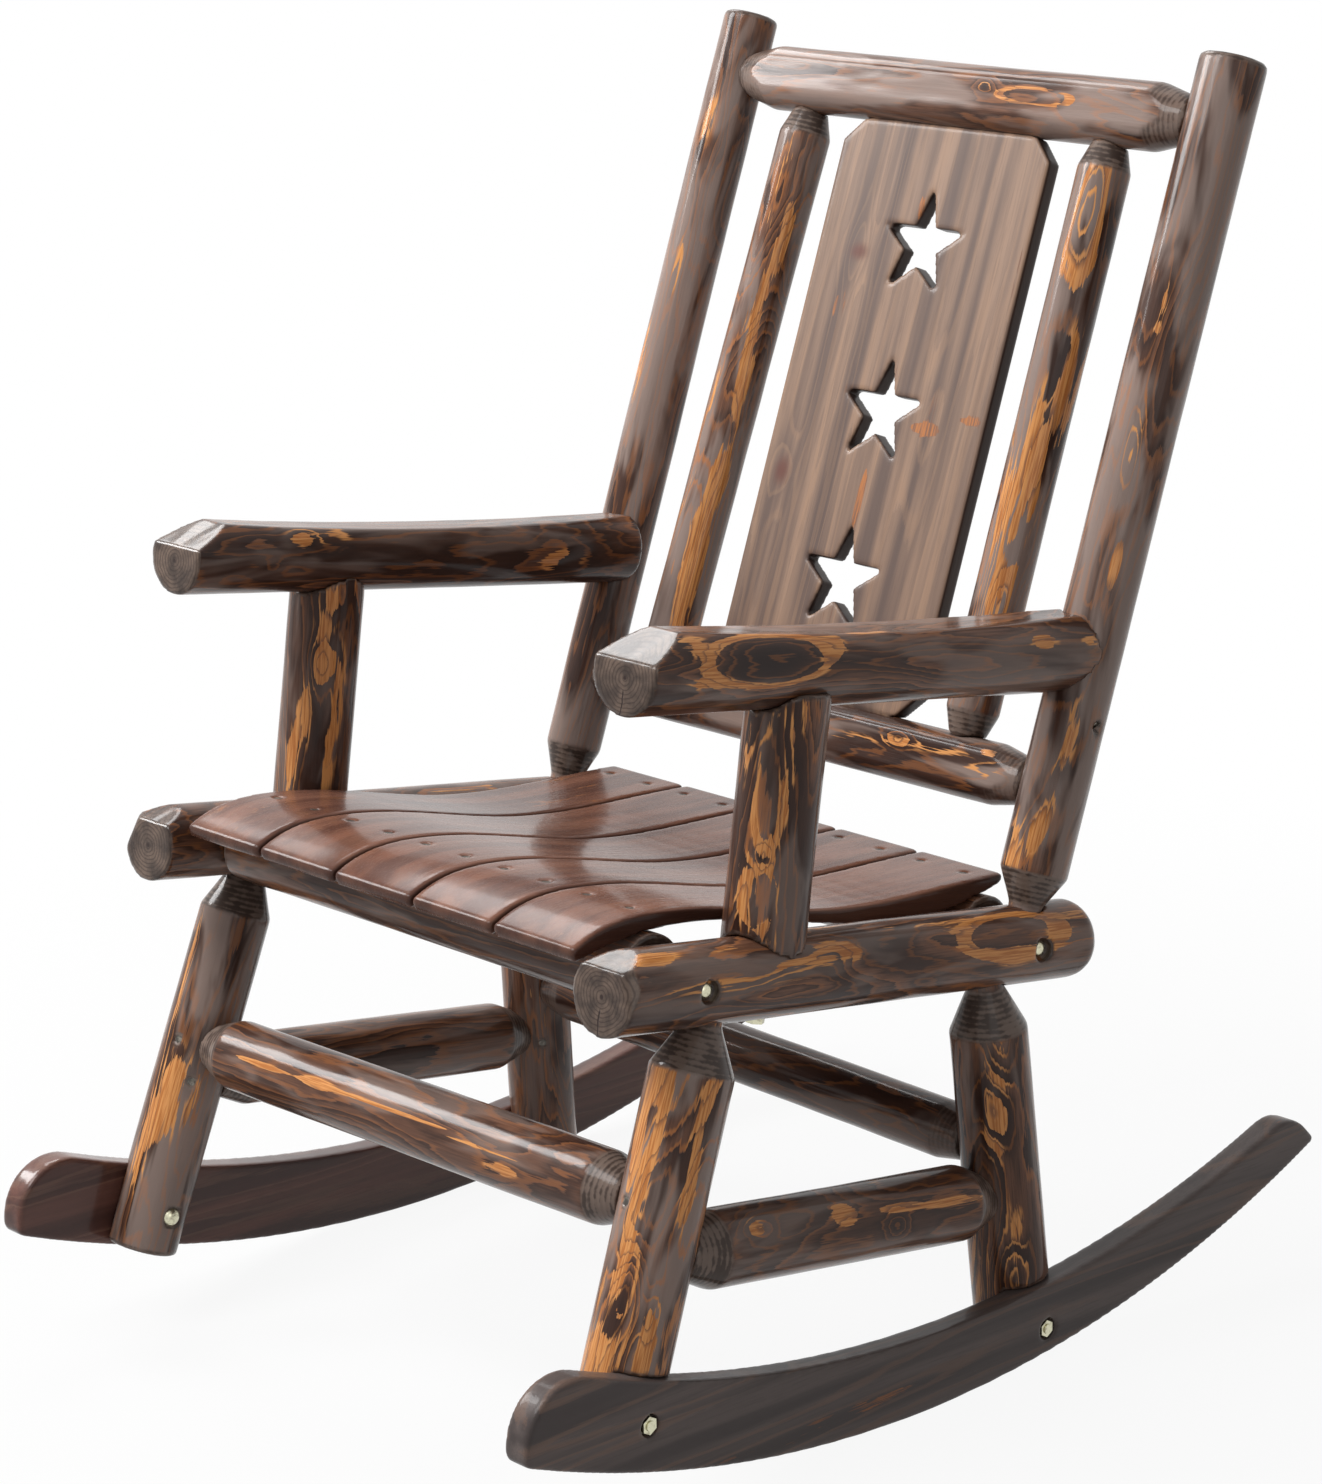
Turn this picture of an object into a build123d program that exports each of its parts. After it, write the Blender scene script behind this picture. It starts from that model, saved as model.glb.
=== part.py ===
from build123d import *
import os
from collections import namedtuple
from math import cos, radians, sin, sqrt

# A log rocking chair: round logs with turned tenons, a slatted seat and a starred back splat.
# The floor is z = 0, +X is the sitter's left, +Y points behind the sitter, and the origin lies
# under the middle of the rockers. All sizes are in millimetres and degrees.

# Stance: the seat frame slopes down to the rear while the chair stands at rest
seat_slope = 9.35
rail_front_height = 419.0
rail_front_ahead = 340.4
side_line = 276.0

# Rockers: between two arcs, the sole and the top, with a round nose and a slanted tail
rocker_thickness = 25.0
rocker_outboard = 14.0
sole_radius = 1168.0
rocker_top_radius = 1177.0
rocker_top_behind = 41.6
rocker_depth = 61.8
nose_reach = 475.4
nose_slant = 2.4
tail_reach = 453.0
tail_slant = 32.7
nose_top_round = 46.0
nose_bottom_round = 9.0
tail_top_round = 40.0
tail_bottom_round = 4.0
rocker_edge_round = 2.5

# Side rails
rail_rear_back = 536.0
left_rail_front_back = 0.0
right_rail_front_back = -1.0
left_rail_diameter = 65.5
right_rail_diameter = 63.0
rail_rear_round = 18.0
rail_bevel_height = 19.0
rail_bevel_length = 27.0
rail_side_bevel_height = 2.0
rail_side_bevel_length = 7.0
rail_side_bevel_turn = 45.0
rail_side_bevel_lift = 18.0

# Cross rails under the seat
cross_rail_diameter = 62.0
front_cross_back = 82.5
rear_cross_back = 463.0
cross_rail_up = 1.5
cross_rail_facet = 30.0
cross_tenon_diameter = 30.0
cross_tenon_length = 14.0

# Seat slats: a rolled nose, a crown over each cross rail and a shallow hollow between them
slat_count = 5
slat_thickness = 15.0
slat_gap = 3.0
slat_side_gap = 6.0
slat_nose_back = 5.0
slat_nose_drop = 24.0
slat_nose_thickness = 10.0
slat_shoulder_back = 34.0
slat_shoulder_drop = 8.6
slat_shoulder_thickness = 17.0
slat_hollow = 13.0
slat_hollow_thickness = 12.5
slat_rear_overhang = 24.0
slat_rear_rise = 2.0
slat_rear_thickness = 8.0
slat_nose_round = 4.0
slat_rear_round = 2.0
slat_edge_chamfer = 1.5
slat_bite = 0.6

# Legs, each splayed outward between the side line and its rocker bolt
left_front_leg_diameter = 67.0
right_front_leg_diameter = 61.0
left_rear_leg_diameter = 64.5
right_rear_leg_diameter = 61.0
front_leg_back = 114.3
front_leg_rake = 12.4
rear_leg_back = 421.5
rear_leg_rake = 13.5
leg_splay = 13.5
leg_cone_length = 36.0
leg_tenon_diameter = 30.0
leg_tenon_top = 13.0
front_foot_above_sole = 3.0
rear_foot_above_sole = 5.0
foot_chamfer = 2.0
lap_reach = 130.0

# Stretchers between the legs
front_stretcher_diameter = 60.0
rear_stretcher_diameter = 49.5
left_stretcher_diameter = 62.5
right_stretcher_diameter = 60.5
front_stretcher_left_drop = 170.0
front_stretcher_right_drop = 178.0
rear_stretcher_left_drop = 170.0
rear_stretcher_right_drop = 158.5
left_stretcher_drop = 210.0
right_stretcher_drop = 208.5
stretcher_cone_length = 26.0
stretcher_shoulder_diameter = 36.0
stretcher_tenon_diameter = 26.0
stretcher_tenon_past_axis = 5.0
stretcher_cope_room = 4.0

# Arms
left_arm_up = 241.0
right_arm_up = 242.5
arm_inset = 8.0
left_arm_diameter = 68.0
right_arm_diameter = 64.0
arm_front_back = -2.0
left_arm_rear_back = 515.0
right_arm_rear_back = 500.0
arm_bevel_height = 8.0
arm_bevel_length = 44.0
arm_flat_drop = 2.0
arm_scoop_drop = 9.0
arm_scoop_back = 290.0

# Arm posts, saddled over the side rails and under the arms
left_arm_post_diameter = 66.0
right_arm_post_diameter = 63.0
arm_post_inset = 5.0
left_arm_post_back = 171.0
right_arm_post_back = 165.0
post_lower_ear = 20.0
post_upper_ear = 16.0

# Back posts, leaning back from the seat frame; their heights run along the lean
post_back = 464.2
back_lean_angle = 11.56
right_post_outset = 2.0
left_post_diameter = 56.5
right_post_diameter = 49.5
post_top = 739.5
post_cone_top = 60.0
post_top_chamfer = 3.0
post_tenon_diameter = 28.0
post_tenon_bottom = 13.0

# Crest rail and lower back rail, both planed flat in front
crest_height = 685.5
crest_diameter = 57.0
crest_facet = 24.0
lower_rail_height = 130.0
lower_rail_diameter = 52.0
lower_rail_facet = 21.0
back_rail_cone_length = 33.0
back_rail_shoulder_diameter = 36.0
back_rail_tenon_diameter = 27.0
back_rail_tenon_length = 15.0

# Back spindles, a little wider apart at the bottom than at the crest rail
left_spindle_top_across = 170.0
left_spindle_bottom_across = 172.0
right_spindle_top_across = 176.0
right_spindle_bottom_across = 190.0
spindle_diameter = 45.5
spindle_cone_length = 20.0
spindle_shoulder_diameter = 28.0
spindle_tenon_diameter = 18.0
spindle_tenon_length = 16.0
spindle_cope_room = 2.0

# Back splat with cut-out stars
splat_width = 238.0
splat_across = -3.0
splat_thickness = 16.0
splat_corner = 20.0
splat_tongue_thickness = 10.0
splat_tongue_length = 12.0
splat_tongue_inset = 6.0
star_radius = 49.5
star_ratio = 0.382
star_points = 5
star_pitch = 147.3
star_count = 3

# Screws through the slats into the cross rails
slat_screw_diameter = 4.0
slat_screw_head = 8.0
slat_screw_length = 36.0
slat_screw_spacing = 48.0
slat_screw_recess = 1.0

# Bolts from the side rails into the cross rails
rail_bolt_diameter = 8.0
rail_bolt_head = 14.0
rail_bolt_head_height = 4.0
rail_bolt_length = 100.0
rail_bolt_recess = 9.0
rail_bolt_recess_diameter = 19.0

# Carriage bolts through the legs and the rockers, with a washer and a nut outside
rocker_bolt_diameter = 8.0
rocker_bolt_head = 16.0
rocker_bolt_head_height = 5.0
rocker_bolt_flat = 3.0
rocker_bolt_flat_diameter = 18.0
front_bolt_above_sole = 37.0
rear_bolt_above_sole = 21.0
nut_recess = 10.0
nut_recess_diameter = 18.5
washer_diameter = 17.0
washer_thickness = 1.6
nut_width = 13.0
nut_height = 6.5
bolt_end_past_nut = 1.5

# Bolts up through the side rails into the arm posts
arm_post_bolt_diameter = 8.0
arm_post_bolt_head = 13.0
arm_post_bolt_head_height = 5.5
arm_post_bolt_grip = 60.0

# Dowels between the arm posts and the arms
dowel_diameter = 12.0
dowel_length = 44.0

# Screws slanted through the back posts into the ends of the arms
toe_screw_diameter = 5.0
toe_screw_head = 9.0
toe_screw_height = 187.0
toe_screw_length = 88.0
toe_screw_forward = 18.0
toe_screw_inward = 36.0
toe_screw_rise = 41.0

# Screws that pin the stretchers' tenons in the legs; turns are measured from straight ahead
pin_screw_diameter = 4.0
pin_screw_head = 8.0
pin_screw_length = 36.0
pin_screw_recess = 1.5
front_pin_turn = 14.0
side_pin_turn = 56.0
rear_pin_turn = 166.0

# Domed heads: where along the head and how far out their round passes, as shares
dome_share_along = 0.35
dome_share_out = 0.38

# Radius of the blunt point of every wood screw
screw_point = 0.3

# Clearances: between seated faces, and around a tenon, bolt or screw in its hole
face_gap = 0.25
fit_gap = 0.2

Leg = namedtuple("Leg", "side diameter top foot way bolt")
StretcherEnd = namedtuple("StretcherEnd", "leg point way pin_head pin_tip")

os.makedirs("parts", exist_ok=True)


def save(part, name):
    part.label = name
    export_step(part, f"parts/{name}.step")


# Frames: the sloping seat frame, with its origin between the front ends of the rail axes,
# and the back plane, which leans back from it

sole_low = (nose_reach - tail_reach) / 2
slope = radians(seat_slope)
seat = Plane(
    origin=(0, sole_low - rail_front_ahead, rail_front_height),
    x_dir=(1, 0, 0),
    z_dir=(0, sin(slope), cos(slope)),
)


def spot(across, back, up):
    """A point of the seat frame: across, back along the rails and up from the rail axes."""
    return seat.from_local_coords(Vector(across, back, up))


def seat_way(angle):
    """The direction in the side plane that leans back from the seat frame's up by an angle."""
    lean = slope + radians(angle)
    return Vector(0, sin(lean), cos(lean))


back_plane = Plane(
    origin=spot(0, post_back, 0),
    x_dir=(1, 0, 0),
    z_dir=Vector(1, 0, 0).cross(seat_way(back_lean_angle)),
)


def back_spot(across, height, ahead=0):
    """A point of the back: across, up along the lean and ahead of the back posts' axes."""
    return back_plane.from_local_coords(Vector(across, height, ahead))


# Shared shapes

def turned(start, end, stations, mode=Mode.ADD):
    """A round solid along an axis; stations are distances from the start and radii."""
    along = Plane(origin=start, z_dir=end - start)
    with BuildSketch(Plane(origin=start, x_dir=along.z_dir, z_dir=along.x_dir)) as half:
        with BuildLine():
            Polyline((stations[0][0], 0), *stations, (stations[-1][0], 0), close=True)
        make_face()
    revolve(half.sketch, axis=Axis(start, end - start), mode=mode)


def rod(start, end, diameter, mode=Mode.ADD):
    turned(start, end, [(0, diameter / 2), ((end - start).length, diameter / 2)], mode)


def bore(start, end, diameter):
    rod(start, end, diameter + 2 * fit_gap, Mode.SUBTRACT)


def cope(start, end, diameter):
    """Hollow a seat for a round log that runs past this piece from start to end."""
    way = (end - start).normalized()
    rod(start - way * diameter, end + way * diameter, diameter + 2 * face_gap, Mode.SUBTRACT)


def shave(point, outward):
    """Plane the piece down to a flat through a point."""
    split(bisect_by=Plane(origin=point, z_dir=outward), keep=Keep.BOTTOM)


def domed_bolt(head_top, end, diameter, head, head_height):
    """A bolt with a domed head whose flat underside lies one head height along the bolt."""
    along = Plane(origin=head_top, z_dir=end - head_top)
    length = (end - head_top).length
    with BuildSketch(Plane(origin=head_top, x_dir=along.z_dir, z_dir=along.x_dir)) as half:
        with BuildLine():
            dome_middle = (head_height * dome_share_along, head * dome_share_out)
            ThreePointArc((0, 0), dome_middle, (head_height, head / 2))
            Polyline((head_height, head / 2), (head_height, diameter / 2),
                     (length, diameter / 2), (length, 0), (0, 0))
        make_face()
    revolve(half.sketch, axis=Axis(head_top, end - head_top))


def screw(head_centre, tip, diameter, head):
    """A countersunk wood screw with a cone point."""
    length = (tip - head_centre).length
    radius = diameter / 2
    turned(head_centre, tip, [
        (0, head / 2),
        ((head - diameter) / 2, radius),
        (length - diameter, radius),
        (length, screw_point),
    ])


def screw_hole(head_centre, tip, diameter, head):
    """The hole of a countersunk screw, open above its head."""
    length = (tip - head_centre).length
    radius = diameter / 2 + fit_gap
    mouth = head / 2 + fit_gap
    turned(head_centre, tip, [
        (-head, mouth),
        (0, mouth),
        (mouth - radius, radius),
        (length + fit_gap, radius),
    ], Mode.SUBTRACT)


def log_with_tips(start, end, diameter, near_tip, far_tip):
    """A log whose ends are cones; a tip is its distance in from the axis point, its diameter
    and the distance where the full diameter begins."""
    length = (end - start).length
    turned(start, end, [
        (near_tip[0], near_tip[1] / 2),
        (near_tip[2], diameter / 2),
        (length - far_tip[2], diameter / 2),
        (length - far_tip[0], far_tip[1] / 2),
    ])


def seat_depth(mate_diameter, diameter):
    """How far a round end reaches into the side of a round mate until its rim is covered."""
    return (mate_diameter - sqrt(mate_diameter ** 2 - diameter ** 2)) / 2


def pick(side, left_value, right_value):
    return left_value if side > 0 else right_value


def rail_diameter(side):
    return pick(side, left_rail_diameter, right_rail_diameter)


def rail_front(side):
    return pick(side, left_rail_front_back, right_rail_front_back)


def rail_axis(side):
    return spot(side * side_line, rail_front(side), 0), spot(side * side_line, rail_rear_back, 0)


# Rockers

sole_centre = Vector(0, sole_low, sole_radius)
rocker_top_centre = Vector(0, sole_low + rocker_top_behind, rocker_depth + rocker_top_radius)
foot_line = side_line + leg_splay
rocker_inner = foot_line + rocker_outboard
rocker_outer = rocker_inner + rocker_thickness


def on_arc(centre, radius, y):
    """The point of an arc below its centre, in the side plane's Y and Z."""
    return (y, centre.Z - sqrt(radius ** 2 - (y - centre.Y) ** 2))


def distance_to_arc(start, way, centre, radius):
    """How far a line in a side plane runs from a point inside an arc to that arc."""
    gap_y = start.Y - centre.Y
    gap_z = start.Z - centre.Z
    along = gap_y * way.Y + gap_z * way.Z
    return sqrt(along ** 2 - gap_y ** 2 - gap_z ** 2 + radius ** 2) - along


with BuildSketch() as rocker_outline:
    nose_bottom = on_arc(sole_centre, sole_radius, sole_low - nose_reach)
    nose_top = on_arc(rocker_top_centre, rocker_top_radius, sole_low - nose_reach + nose_slant)
    tail_bottom = on_arc(sole_centre, sole_radius, sole_low + tail_reach)
    tail_top = on_arc(rocker_top_centre, rocker_top_radius, sole_low + tail_reach - tail_slant)
    with BuildLine():
        ThreePointArc(nose_bottom, on_arc(sole_centre, sole_radius, sole_low), tail_bottom)
        Line(tail_bottom, tail_top)
        top_middle = on_arc(rocker_top_centre, rocker_top_radius, rocker_top_centre.Y)
        ThreePointArc(tail_top, top_middle, nose_top)
        Line(nose_top, nose_bottom)
    make_face()
    corner_rounds = (
        (nose_bottom, nose_bottom_round),
        (nose_top, nose_top_round),
        (tail_bottom, tail_bottom_round),
        (tail_top, tail_top_round),
    )
    for corner, size in corner_rounds:
        fillet(rocker_outline.vertices().sort_by_distance((*corner, 0))[0], size)


# Legs: each runs from the rail axis down the inner face of the rocker that it is half lapped onto

def lay_out_leg(side, diameter, back, rake, foot_above_sole, bolt_above_sole):
    top = spot(side * side_line, back, 0)
    drop = -seat_way(rake)
    to_sole = distance_to_arc(top, drop, sole_centre, sole_radius)
    to_bolt = to_sole - bolt_above_sole
    step = drop + Vector(side * leg_splay / to_bolt, 0, 0)
    foot = top + step * (to_sole - foot_above_sole)
    return Leg(side, diameter, top, foot, step.normalized(), top + step * to_bolt)


left_front = lay_out_leg(1, left_front_leg_diameter, front_leg_back, front_leg_rake,
                         front_foot_above_sole, front_bolt_above_sole)
right_front = lay_out_leg(-1, right_front_leg_diameter, front_leg_back, front_leg_rake,
                          front_foot_above_sole, front_bolt_above_sole)
left_rear = lay_out_leg(1, left_rear_leg_diameter, rear_leg_back, -rear_leg_rake,
                        rear_foot_above_sole, rear_bolt_above_sole)
right_rear = lay_out_leg(-1, right_rear_leg_diameter, rear_leg_back, -rear_leg_rake,
                         rear_foot_above_sole, rear_bolt_above_sole)
legs = (left_front, right_front, left_rear, right_rear)


def stretcher_ends(first, second, first_drop, second_drop, pin_turn):
    """Both ends of a stretcher that meets two legs at their drops below the rail axes."""
    points = [
        leg.top - leg.way * (drop / seat.z_dir.dot(leg.way))
        for leg, drop in ((first, first_drop), (second, second_drop))
    ]
    way = (points[1] - points[0]).normalized()
    turn = radians(pin_turn)
    ends = []
    for leg, point, inward in zip((first, second), points, (way, -way)):
        ahead = Vector(0, leg.way.Z, -leg.way.Y).normalized()
        outward = leg.way.cross(ahead) * leg.side
        pin_way = ahead * cos(turn) + outward * sin(turn)
        pin_head = point + pin_way * (leg.diameter / 2 - pin_screw_recess)
        pin_tip = pin_head - pin_way * pin_screw_length
        ends.append(StretcherEnd(leg, point, inward, pin_head, pin_tip))
    return ends


front_ends = stretcher_ends(left_front, right_front, front_stretcher_left_drop,
                            front_stretcher_right_drop, front_pin_turn)
rear_ends = stretcher_ends(left_rear, right_rear, rear_stretcher_left_drop,
                           rear_stretcher_right_drop, rear_pin_turn)
left_ends = stretcher_ends(left_front, left_rear, left_stretcher_drop,
                           left_stretcher_drop, side_pin_turn)
right_ends = stretcher_ends(right_front, right_rear, right_stretcher_drop,
                            right_stretcher_drop, side_pin_turn)
all_ends = front_ends + rear_ends + left_ends + right_ends


def tenon_tip(end):
    return end.point - end.way * stretcher_tenon_past_axis


def make_leg(leg):
    rail_radius = rail_diameter(leg.side) / 2
    cone_base = rail_radius + leg_cone_length
    length = (leg.foot - leg.top).length
    with BuildPart() as log:
        turned(leg.top, leg.foot, [
            (rail_radius, leg_tenon_diameter / 2),
            (cone_base, leg.diameter / 2),
            (length - foot_chamfer, leg.diameter / 2),
            (length, leg.diameter / 2 - foot_chamfer),
        ])
        cope(*rail_axis(leg.side), rail_diameter(leg.side))
        rod(leg.top + leg.way * leg_tenon_top, leg.top + leg.way * cone_base, leg_tenon_diameter)
        # the half lap: the outer part is cut away against the rocker's inner face and its top
        with BuildSketch(Plane.YZ.offset(leg.side * (rocker_inner - face_gap))):
            with Locations((leg.foot.Y, leg.foot.Z)):
                Circle(lap_reach)
            with Locations((rocker_top_centre.Y, rocker_top_centre.Z)):
                Circle(rocker_top_radius - face_gap, mode=Mode.SUBTRACT)
        extrude(amount=leg.side * leg.diameter, mode=Mode.SUBTRACT)
        for end in all_ends:
            if end.leg is leg:
                bore(end.point + end.way * leg.diameter, tenon_tip(end) - end.way * face_gap,
                     stretcher_tenon_diameter)
                screw_hole(end.pin_head, end.pin_tip, pin_screw_diameter, pin_screw_head)
        cut_rocker_bolt_hole(leg)
    return log.part


def bolt_across(leg, across):
    """A point on the line of the leg's rocker bolt."""
    return Vector(leg.side * across, leg.bolt.Y, leg.bolt.Z)


def bolt_flat(leg):
    """How far across the bolt head's seat lies on the inner side of a leg."""
    return foot_line - leg.diameter / 2 + rocker_bolt_flat


nut_seat = rocker_outer - nut_recess


def cut_rocker_bolt_hole(leg):
    bore(bolt_across(leg, 0), bolt_across(leg, rocker_outer), rocker_bolt_diameter)
    rod(bolt_across(leg, 0), bolt_across(leg, bolt_flat(leg)), rocker_bolt_flat_diameter,
        Mode.SUBTRACT)


def make_rocker(side):
    with BuildPart() as rocker:
        with BuildSketch(Plane.YZ.offset(side * rocker_inner)):
            add(rocker_outline.sketch)
        extrude(amount=side * rocker_thickness)
        rims = rocker.faces().filter_by(Axis.X).edges()
        fillet(rims, rocker_edge_round)
        for leg in legs:
            if leg.side == side:
                bore(bolt_across(leg, rocker_inner - nut_recess),
                     bolt_across(leg, rocker_outer), rocker_bolt_diameter)
                rod(bolt_across(leg, nut_seat), bolt_across(leg, rocker_outer + nut_recess),
                    nut_recess_diameter, Mode.SUBTRACT)
    return rocker.part


def make_stretcher(ends, diameter):
    first, second = ends
    with BuildPart() as stretcher:
        tips = []
        for end in ends:
            leg_radius = end.leg.diameter / 2
            depth = seat_depth(end.leg.diameter, stretcher_shoulder_diameter)
            depth = depth + stretcher_cope_room
            tips.append((leg_radius - depth, stretcher_shoulder_diameter,
                         leg_radius + stretcher_cone_length))
        log_with_tips(first.point, second.point, diameter, *tips)
        for end in ends:
            cope(end.leg.top, end.leg.foot, end.leg.diameter)
        for end in ends:
            rod(end.point + end.way * (end.leg.diameter / 2 + stretcher_cone_length),
                tenon_tip(end), stretcher_tenon_diameter)
        for end in ends:
            screw_hole(end.pin_head, end.pin_tip, pin_screw_diameter, pin_screw_head)
    return stretcher.part


# Cross rails and side rails

def cross_shoulder(side):
    """Where a cross rail's shoulder meets a side rail's inner side."""
    return side_line - rail_diameter(side) / 2 - face_gap


def rail_bolt_seat(side):
    return side_line + rail_diameter(side) / 2 - rail_bolt_recess


def make_cross_rail(back):
    with BuildPart() as rail:
        rod(spot(cross_shoulder(1), back, cross_rail_up),
            spot(-cross_shoulder(-1), back, cross_rail_up), cross_rail_diameter)
        shave(spot(0, back - cross_rail_facet, 0), -seat.y_dir)
        for side in (1, -1):
            tenon_end = cross_shoulder(side) + cross_tenon_length
            rod(spot(0, back, cross_rail_up), spot(side * tenon_end, back, cross_rail_up),
                cross_tenon_diameter)
            bolt_end = rail_bolt_seat(side) - rail_bolt_length - fit_gap
            bore(spot(side * side_line, back, cross_rail_up),
                 spot(side * bolt_end, back, cross_rail_up), rail_bolt_diameter)
        for across in slat_screw_places:
            screw_hole(*slat_screw_line(across, back), slat_screw_diameter, slat_screw_head)
    return rail.part


# Slats: the seat is as wide as the rails and the arm posts leave it

def arm_post_diameter(side):
    return pick(side, left_arm_post_diameter, right_arm_post_diameter)


arm_post_line = side_line - arm_post_inset
widest_log = max(
    max(left_rail_diameter, right_rail_diameter) / 2,
    max(left_arm_post_diameter, right_arm_post_diameter) / 2 + arm_post_inset - slat_gap,
)
seat_half_width = side_line - widest_log - slat_side_gap
slat_width = (2 * seat_half_width - (slat_count - 1) * slat_gap) / slat_count
slat_centres = [
    (number - (slat_count - 1) / 2) * (slat_width + slat_gap) for number in range(slat_count)
]
slat_screw_places = [
    centre + half * slat_screw_spacing for centre in slat_centres for half in (-0.5, 0.5)
]
slat_crown = cross_rail_up + cross_rail_diameter / 2 - slat_bite + slat_thickness


def slat_screw_line(across, back):
    """Head centre and tip of a slat screw."""
    head_up = slat_crown - slat_screw_recess
    return spot(across, back, head_up), spot(across, back, head_up - slat_screw_length)


def make_slat(centre):
    nose = (slat_nose_back, slat_crown - slat_nose_drop)
    nose_under = (slat_nose_back + slat_nose_thickness / 2, nose[1] - slat_nose_thickness)
    shoulder = (slat_shoulder_back, slat_crown - slat_shoulder_drop)
    hollow = ((front_cross_back + rear_cross_back) / 2 + slat_hollow, slat_crown - slat_hollow)
    slat_rear_back = rear_cross_back + slat_rear_overhang
    rear = (slat_rear_back, slat_crown + slat_rear_rise)
    edge_plane = Plane(
        origin=spot(centre - slat_width / 2, 0, 0), x_dir=seat.y_dir, z_dir=(1, 0, 0))
    with BuildPart() as slat:
        with BuildSketch(edge_plane):
            with BuildLine():
                Spline(nose, shoulder, (front_cross_back, slat_crown), hollow,
                       (rear_cross_back, slat_crown), rear)
                Line(rear, (slat_rear_back, rear[1] - slat_rear_thickness))
                Spline((slat_rear_back, rear[1] - slat_rear_thickness),
                       (rear_cross_back, slat_crown - slat_thickness),
                       (hollow[0], hollow[1] - slat_hollow_thickness),
                       (front_cross_back, slat_crown - slat_thickness),
                       (slat_shoulder_back, shoulder[1] - slat_shoulder_thickness),
                       nose_under)
                Line(nose_under, nose)
            face = make_face()
            ends = face.vertices().sort_by(Axis.X)
            fillet(ends[:2], slat_nose_round)
            fillet(ends[2:], slat_rear_round)
        extrude(amount=slat_width)
        chamfer(slat.faces().filter_by(Axis.X).edges(), slat_edge_chamfer)
        for back in (front_cross_back, rear_cross_back):
            cope(spot(-side_line, back, cross_rail_up), spot(side_line, back, cross_rail_up),
                 cross_rail_diameter)
            for half in (-0.5, 0.5):
                across = centre + half * slat_screw_spacing
                screw_hole(*slat_screw_line(across, back), slat_screw_diameter, slat_screw_head)
    return slat.part


# Side rails

def post_across(side):
    return side_line + pick(side, 0, right_post_outset)


def post_spot(side, height):
    return back_spot(side * post_across(side), height)


def make_side_rail(side):
    line = side * side_line
    radius = rail_diameter(side) / 2
    with BuildPart() as rail:
        rod(*rail_axis(side), rail_diameter(side))
        rear_rim = rail.edges().filter_by(GeomType.CIRCLE).sort_by(Axis.Y)[-1]
        fillet(rear_rim, rail_rear_round)
        # the planed front end: a wide bevel on top and a narrow one down the outer side
        shave(spot(line, rail_front(side), rail_bevel_height),
              seat.z_dir * rail_bevel_length - seat.y_dir * (radius - rail_bevel_height))
        turn = radians(rail_side_bevel_turn)
        lift = radians(rail_side_bevel_lift)
        shave(spot(line + side * radius, rail_front(side) + rail_side_bevel_length,
                   rail_side_bevel_height),
              seat.z_dir * sin(lift) + Vector(side * sin(turn) * cos(lift), 0, 0)
              - seat.y_dir * cos(turn) * cos(lift))
        for back in (front_cross_back, rear_cross_back):
            bore(spot(0, back, cross_rail_up),
                 spot(side * (cross_shoulder(side) + cross_tenon_length + face_gap), back,
                      cross_rail_up), cross_tenon_diameter)
            bore(spot(0, back, cross_rail_up),
                 spot(side * rocker_outer, back, cross_rail_up), rail_bolt_diameter)
            rod(spot(side * rail_bolt_seat(side), back, cross_rail_up),
                spot(side * rocker_outer, back, cross_rail_up), rail_bolt_recess_diameter,
                Mode.SUBTRACT)
        for leg in legs:
            if leg.side == side:
                bore(leg.top + leg.way * (leg_tenon_top - face_gap), leg.foot,
                     leg_tenon_diameter)
        bore(post_spot(side, post_tenon_bottom - face_gap), post_spot(side, post_top),
             post_tenon_diameter)
        bore(arm_post_spot(side, -rail_diameter(side)), arm_post_spot(side, rail_diameter(side)),
             arm_post_bolt_diameter)
    return rail.part


# Arms and arm posts

def arm_post_spot(side, up):
    return spot(side * arm_post_line, pick(side, left_arm_post_back, right_arm_post_back), up)


def arm_diameter(side):
    return pick(side, left_arm_diameter, right_arm_diameter)


def arm_up(side):
    return pick(side, left_arm_up, right_arm_up)


def arm_rear(side):
    return pick(side, left_arm_rear_back, right_arm_rear_back)


def arm_spot(side, back):
    return spot(side * (side_line - arm_inset), back, arm_up(side))


def dowel_line(side):
    middle = arm_up(side) - arm_diameter(side) / 2
    return (arm_post_spot(side, middle - dowel_length / 2),
            arm_post_spot(side, middle + dowel_length / 2))


def post_diameter(side):
    return pick(side, left_post_diameter, right_post_diameter)


def toe_screw_line(side):
    """Head centre and tip of the screw from a back post's outer side into the arm."""
    head = post_spot(side, toe_screw_height)
    head = head + Vector(side * (post_diameter(side) / 2 - pin_screw_recess), 0, 0)
    way = (seat.z_dir * toe_screw_rise - seat.y_dir * toe_screw_forward
           - Vector(side * toe_screw_inward, 0, 0)).normalized()
    return head, head + way * toe_screw_length


def make_arm_post(side):
    bottom = rail_diameter(side) / 2 - post_lower_ear
    top = arm_up(side) - arm_diameter(side) / 2 + post_upper_ear
    with BuildPart() as post:
        rod(arm_post_spot(side, bottom), arm_post_spot(side, top), arm_post_diameter(side))
        cope(*rail_axis(side), rail_diameter(side))
        cope(arm_spot(side, arm_front_back), arm_spot(side, arm_rear(side)), arm_diameter(side))
        low, high = dowel_line(side)
        bore(low - seat.z_dir * face_gap, high, dowel_diameter)
        bore(arm_post_spot(side, 0),
             arm_post_spot(side, rail_diameter(side) / 2 + arm_post_bolt_grip + face_gap),
             arm_post_bolt_diameter)
    return post.part


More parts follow.
